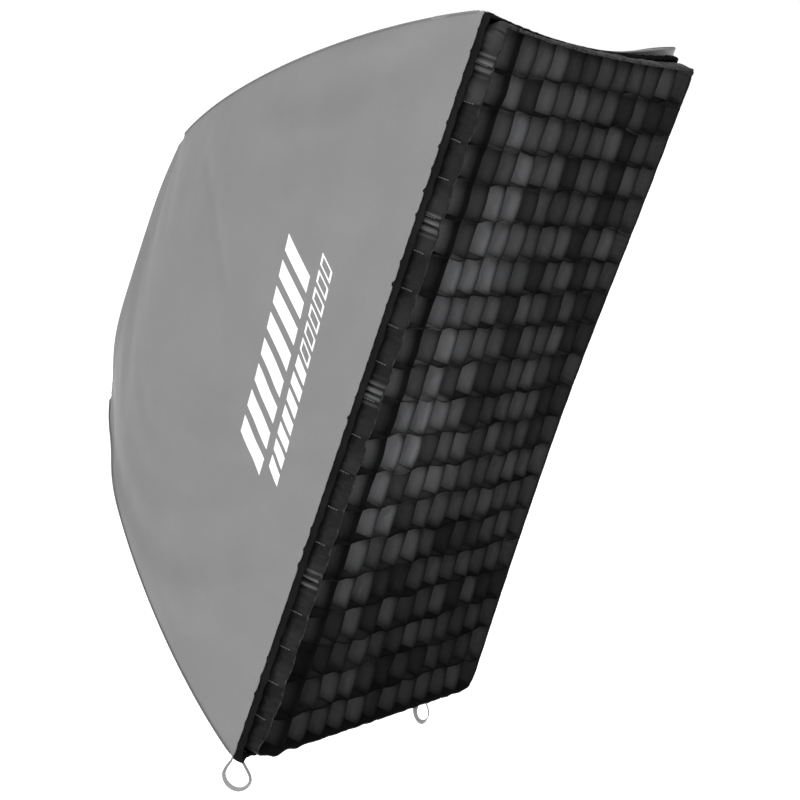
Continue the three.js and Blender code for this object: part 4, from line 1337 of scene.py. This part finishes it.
def make_knob():
    """A fluted knob with a dished top, on its threaded stem."""
    low, high = box_of("clamp_knob")
    centre_z = (low[2] + high[2]) / 2
    cosine, sine = circle(144)
    flutes = np.cos(12 * np.linspace(0, 2 * math.pi, 144, endpoint=False))
    rear, front = high[1], -0.0056
    stations = [(0.0035, front, 0), (0.0085, front, 0.4), (0.0092, front + 0.0006, 0.8),
                (0.0094, front + 0.0015, 1), (0.0094, rear - 0.0020, 1), (0.0091, rear - 0.0008, 0.8),
                (0.0084, rear - 0.0001, 0.3), (0.0074, rear, 0), (0.0066, rear - 0.0007, 0),
                (0.0030, rear - 0.0011, 0), (0.0006, rear - 0.0012, 0)]
    rings = []
    for radius, y, fluted in stations:
        size = radius + fluted * 0.0006 * flutes
        rings.append(np.stack([size * cosine, y + 0 * size, centre_z + size * sine], -1))
    add("clamp_knob_head", rings, "knob", "clamp_knob", "knob_plastic", "clamp_knob", cap="fan", sharp=40)
    turns, per_turn, pitch, stem, start = 24, 24, 0.001, 0.0026, -0.0286
    t = np.arange(turns * per_turn + 1) / per_turn
    angle = 2 * math.pi * t
    helix = np.stack([stem * np.cos(angle), start + pitch * t, centre_z + stem * np.sin(angle)], -1)
    add("clamp_stem_thread", tube_rings(helix, ellipse(0.00045, 0.0003, 6), REARWARDS), "steel", "clamp_knob",
        "knob_plastic", cap="fan", sharp=80)
    rod = [(0.0001, start), (0.0021, start), (stem, start + 0.0006), (stem, 0.0), (0.0001, 0.0)]
    lathe("clamp_stem", rod, "steel", "clamp_knob", "knob_plastic", corner=0.0002, segments=48,
          centre_z=centre_z)


# ---- stage ----
FLOOR_Z, FLOOR_REACH = -1.30, 30.0


def make_stage():
    """A floor well below the object, so pale that it runs into the background."""
    mesh = bpy.data.meshes.new("floor")
    corners = ((-1, -1), (1, -1), (1, 1), (-1, 1))
    mesh.from_pydata([(x * FLOOR_REACH, y * FLOOR_REACH, FLOOR_Z) for x, y in corners], [], [(0, 1, 2, 3)])
    floor = bpy.data.objects.new("floor", mesh)
    bpy.context.scene.collection.objects.link(floor)
    material, _, shader = new_material("pale_floor")
    for name, value in (("Base Color", (0.9, 0.9, 0.9, 1)), ("Roughness", 0.9),
                        ("Emission Color", (1, 1, 1, 1)), ("Emission Strength", 0.85)):
        shader.inputs[name].default_value = value
    mesh.materials.append(material)


def make_world():
    """Even white light, a little stronger from above, that the camera sees as plain white."""
    world = bpy.data.worlds.new("studio")
    bpy.context.scene.world = world
    world.use_nodes = True
    tree = world.node_tree
    tree.nodes.clear()
    way = node(tree, "TexCoord").outputs["Generated"]
    height = node(tree, "SeparateXYZ", {0: way}).outputs[2]
    strength = ranged(tree, height, -1, 1, 0.28, 0.55)
    around = node(tree, "Background", {"Color": (1, 1, 1, 1), "Strength": strength})
    plain = node(tree, "Background", {"Color": (1, 1, 1, 1), "Strength": 1.0})
    seen = node(tree, "LightPath").outputs["Is Camera Ray"]
    both = node(tree, "MixShader", {0: seen, 1: around.outputs[0], 2: plain.outputs[0]})
    node(tree, "OutputWorld", {"Surface": both.outputs[0]})


def make_light(name, place, aim, size, energy):
    data = bpy.data.lights.new(name, "AREA")
    data.shape = "RECTANGLE"
    data.size, data.size_y = size
    data.energy = energy
    light = bpy.data.objects.new(name, data)
    way = Vector(aim) - Vector(place)
    light.matrix_world = Matrix.Translation(place) @ way.to_track_quat("-Z", "Y").to_matrix().to_4x4()
    bpy.context.scene.collection.objects.link(light)


def make_lights():
    make_light("key", (-3.3, -0.7, 1.9), (0, -0.3, 0), (2.4, 2.4), 62)
    make_light("front", (-1.9, -3.4, 0.9), (0, -0.4, 0), (1.2, 2.2), 30)
    make_light("rear", (1.6, 2.4, 2.0), (0, -0.2, 0), (1.6, 1.6), 34)


make_camera()
make_materials()
make_loops()
make_hem()
make_shell()
make_seams()
make_lip()
make_band()
make_strips()
make_diffusers()
make_flaps()
make_speed_ring()
make_rods()
make_adapter()
make_knob()
make_stage()
make_world()
make_lights()
bpy.context.scene.view_settings.view_transform = "Standard"
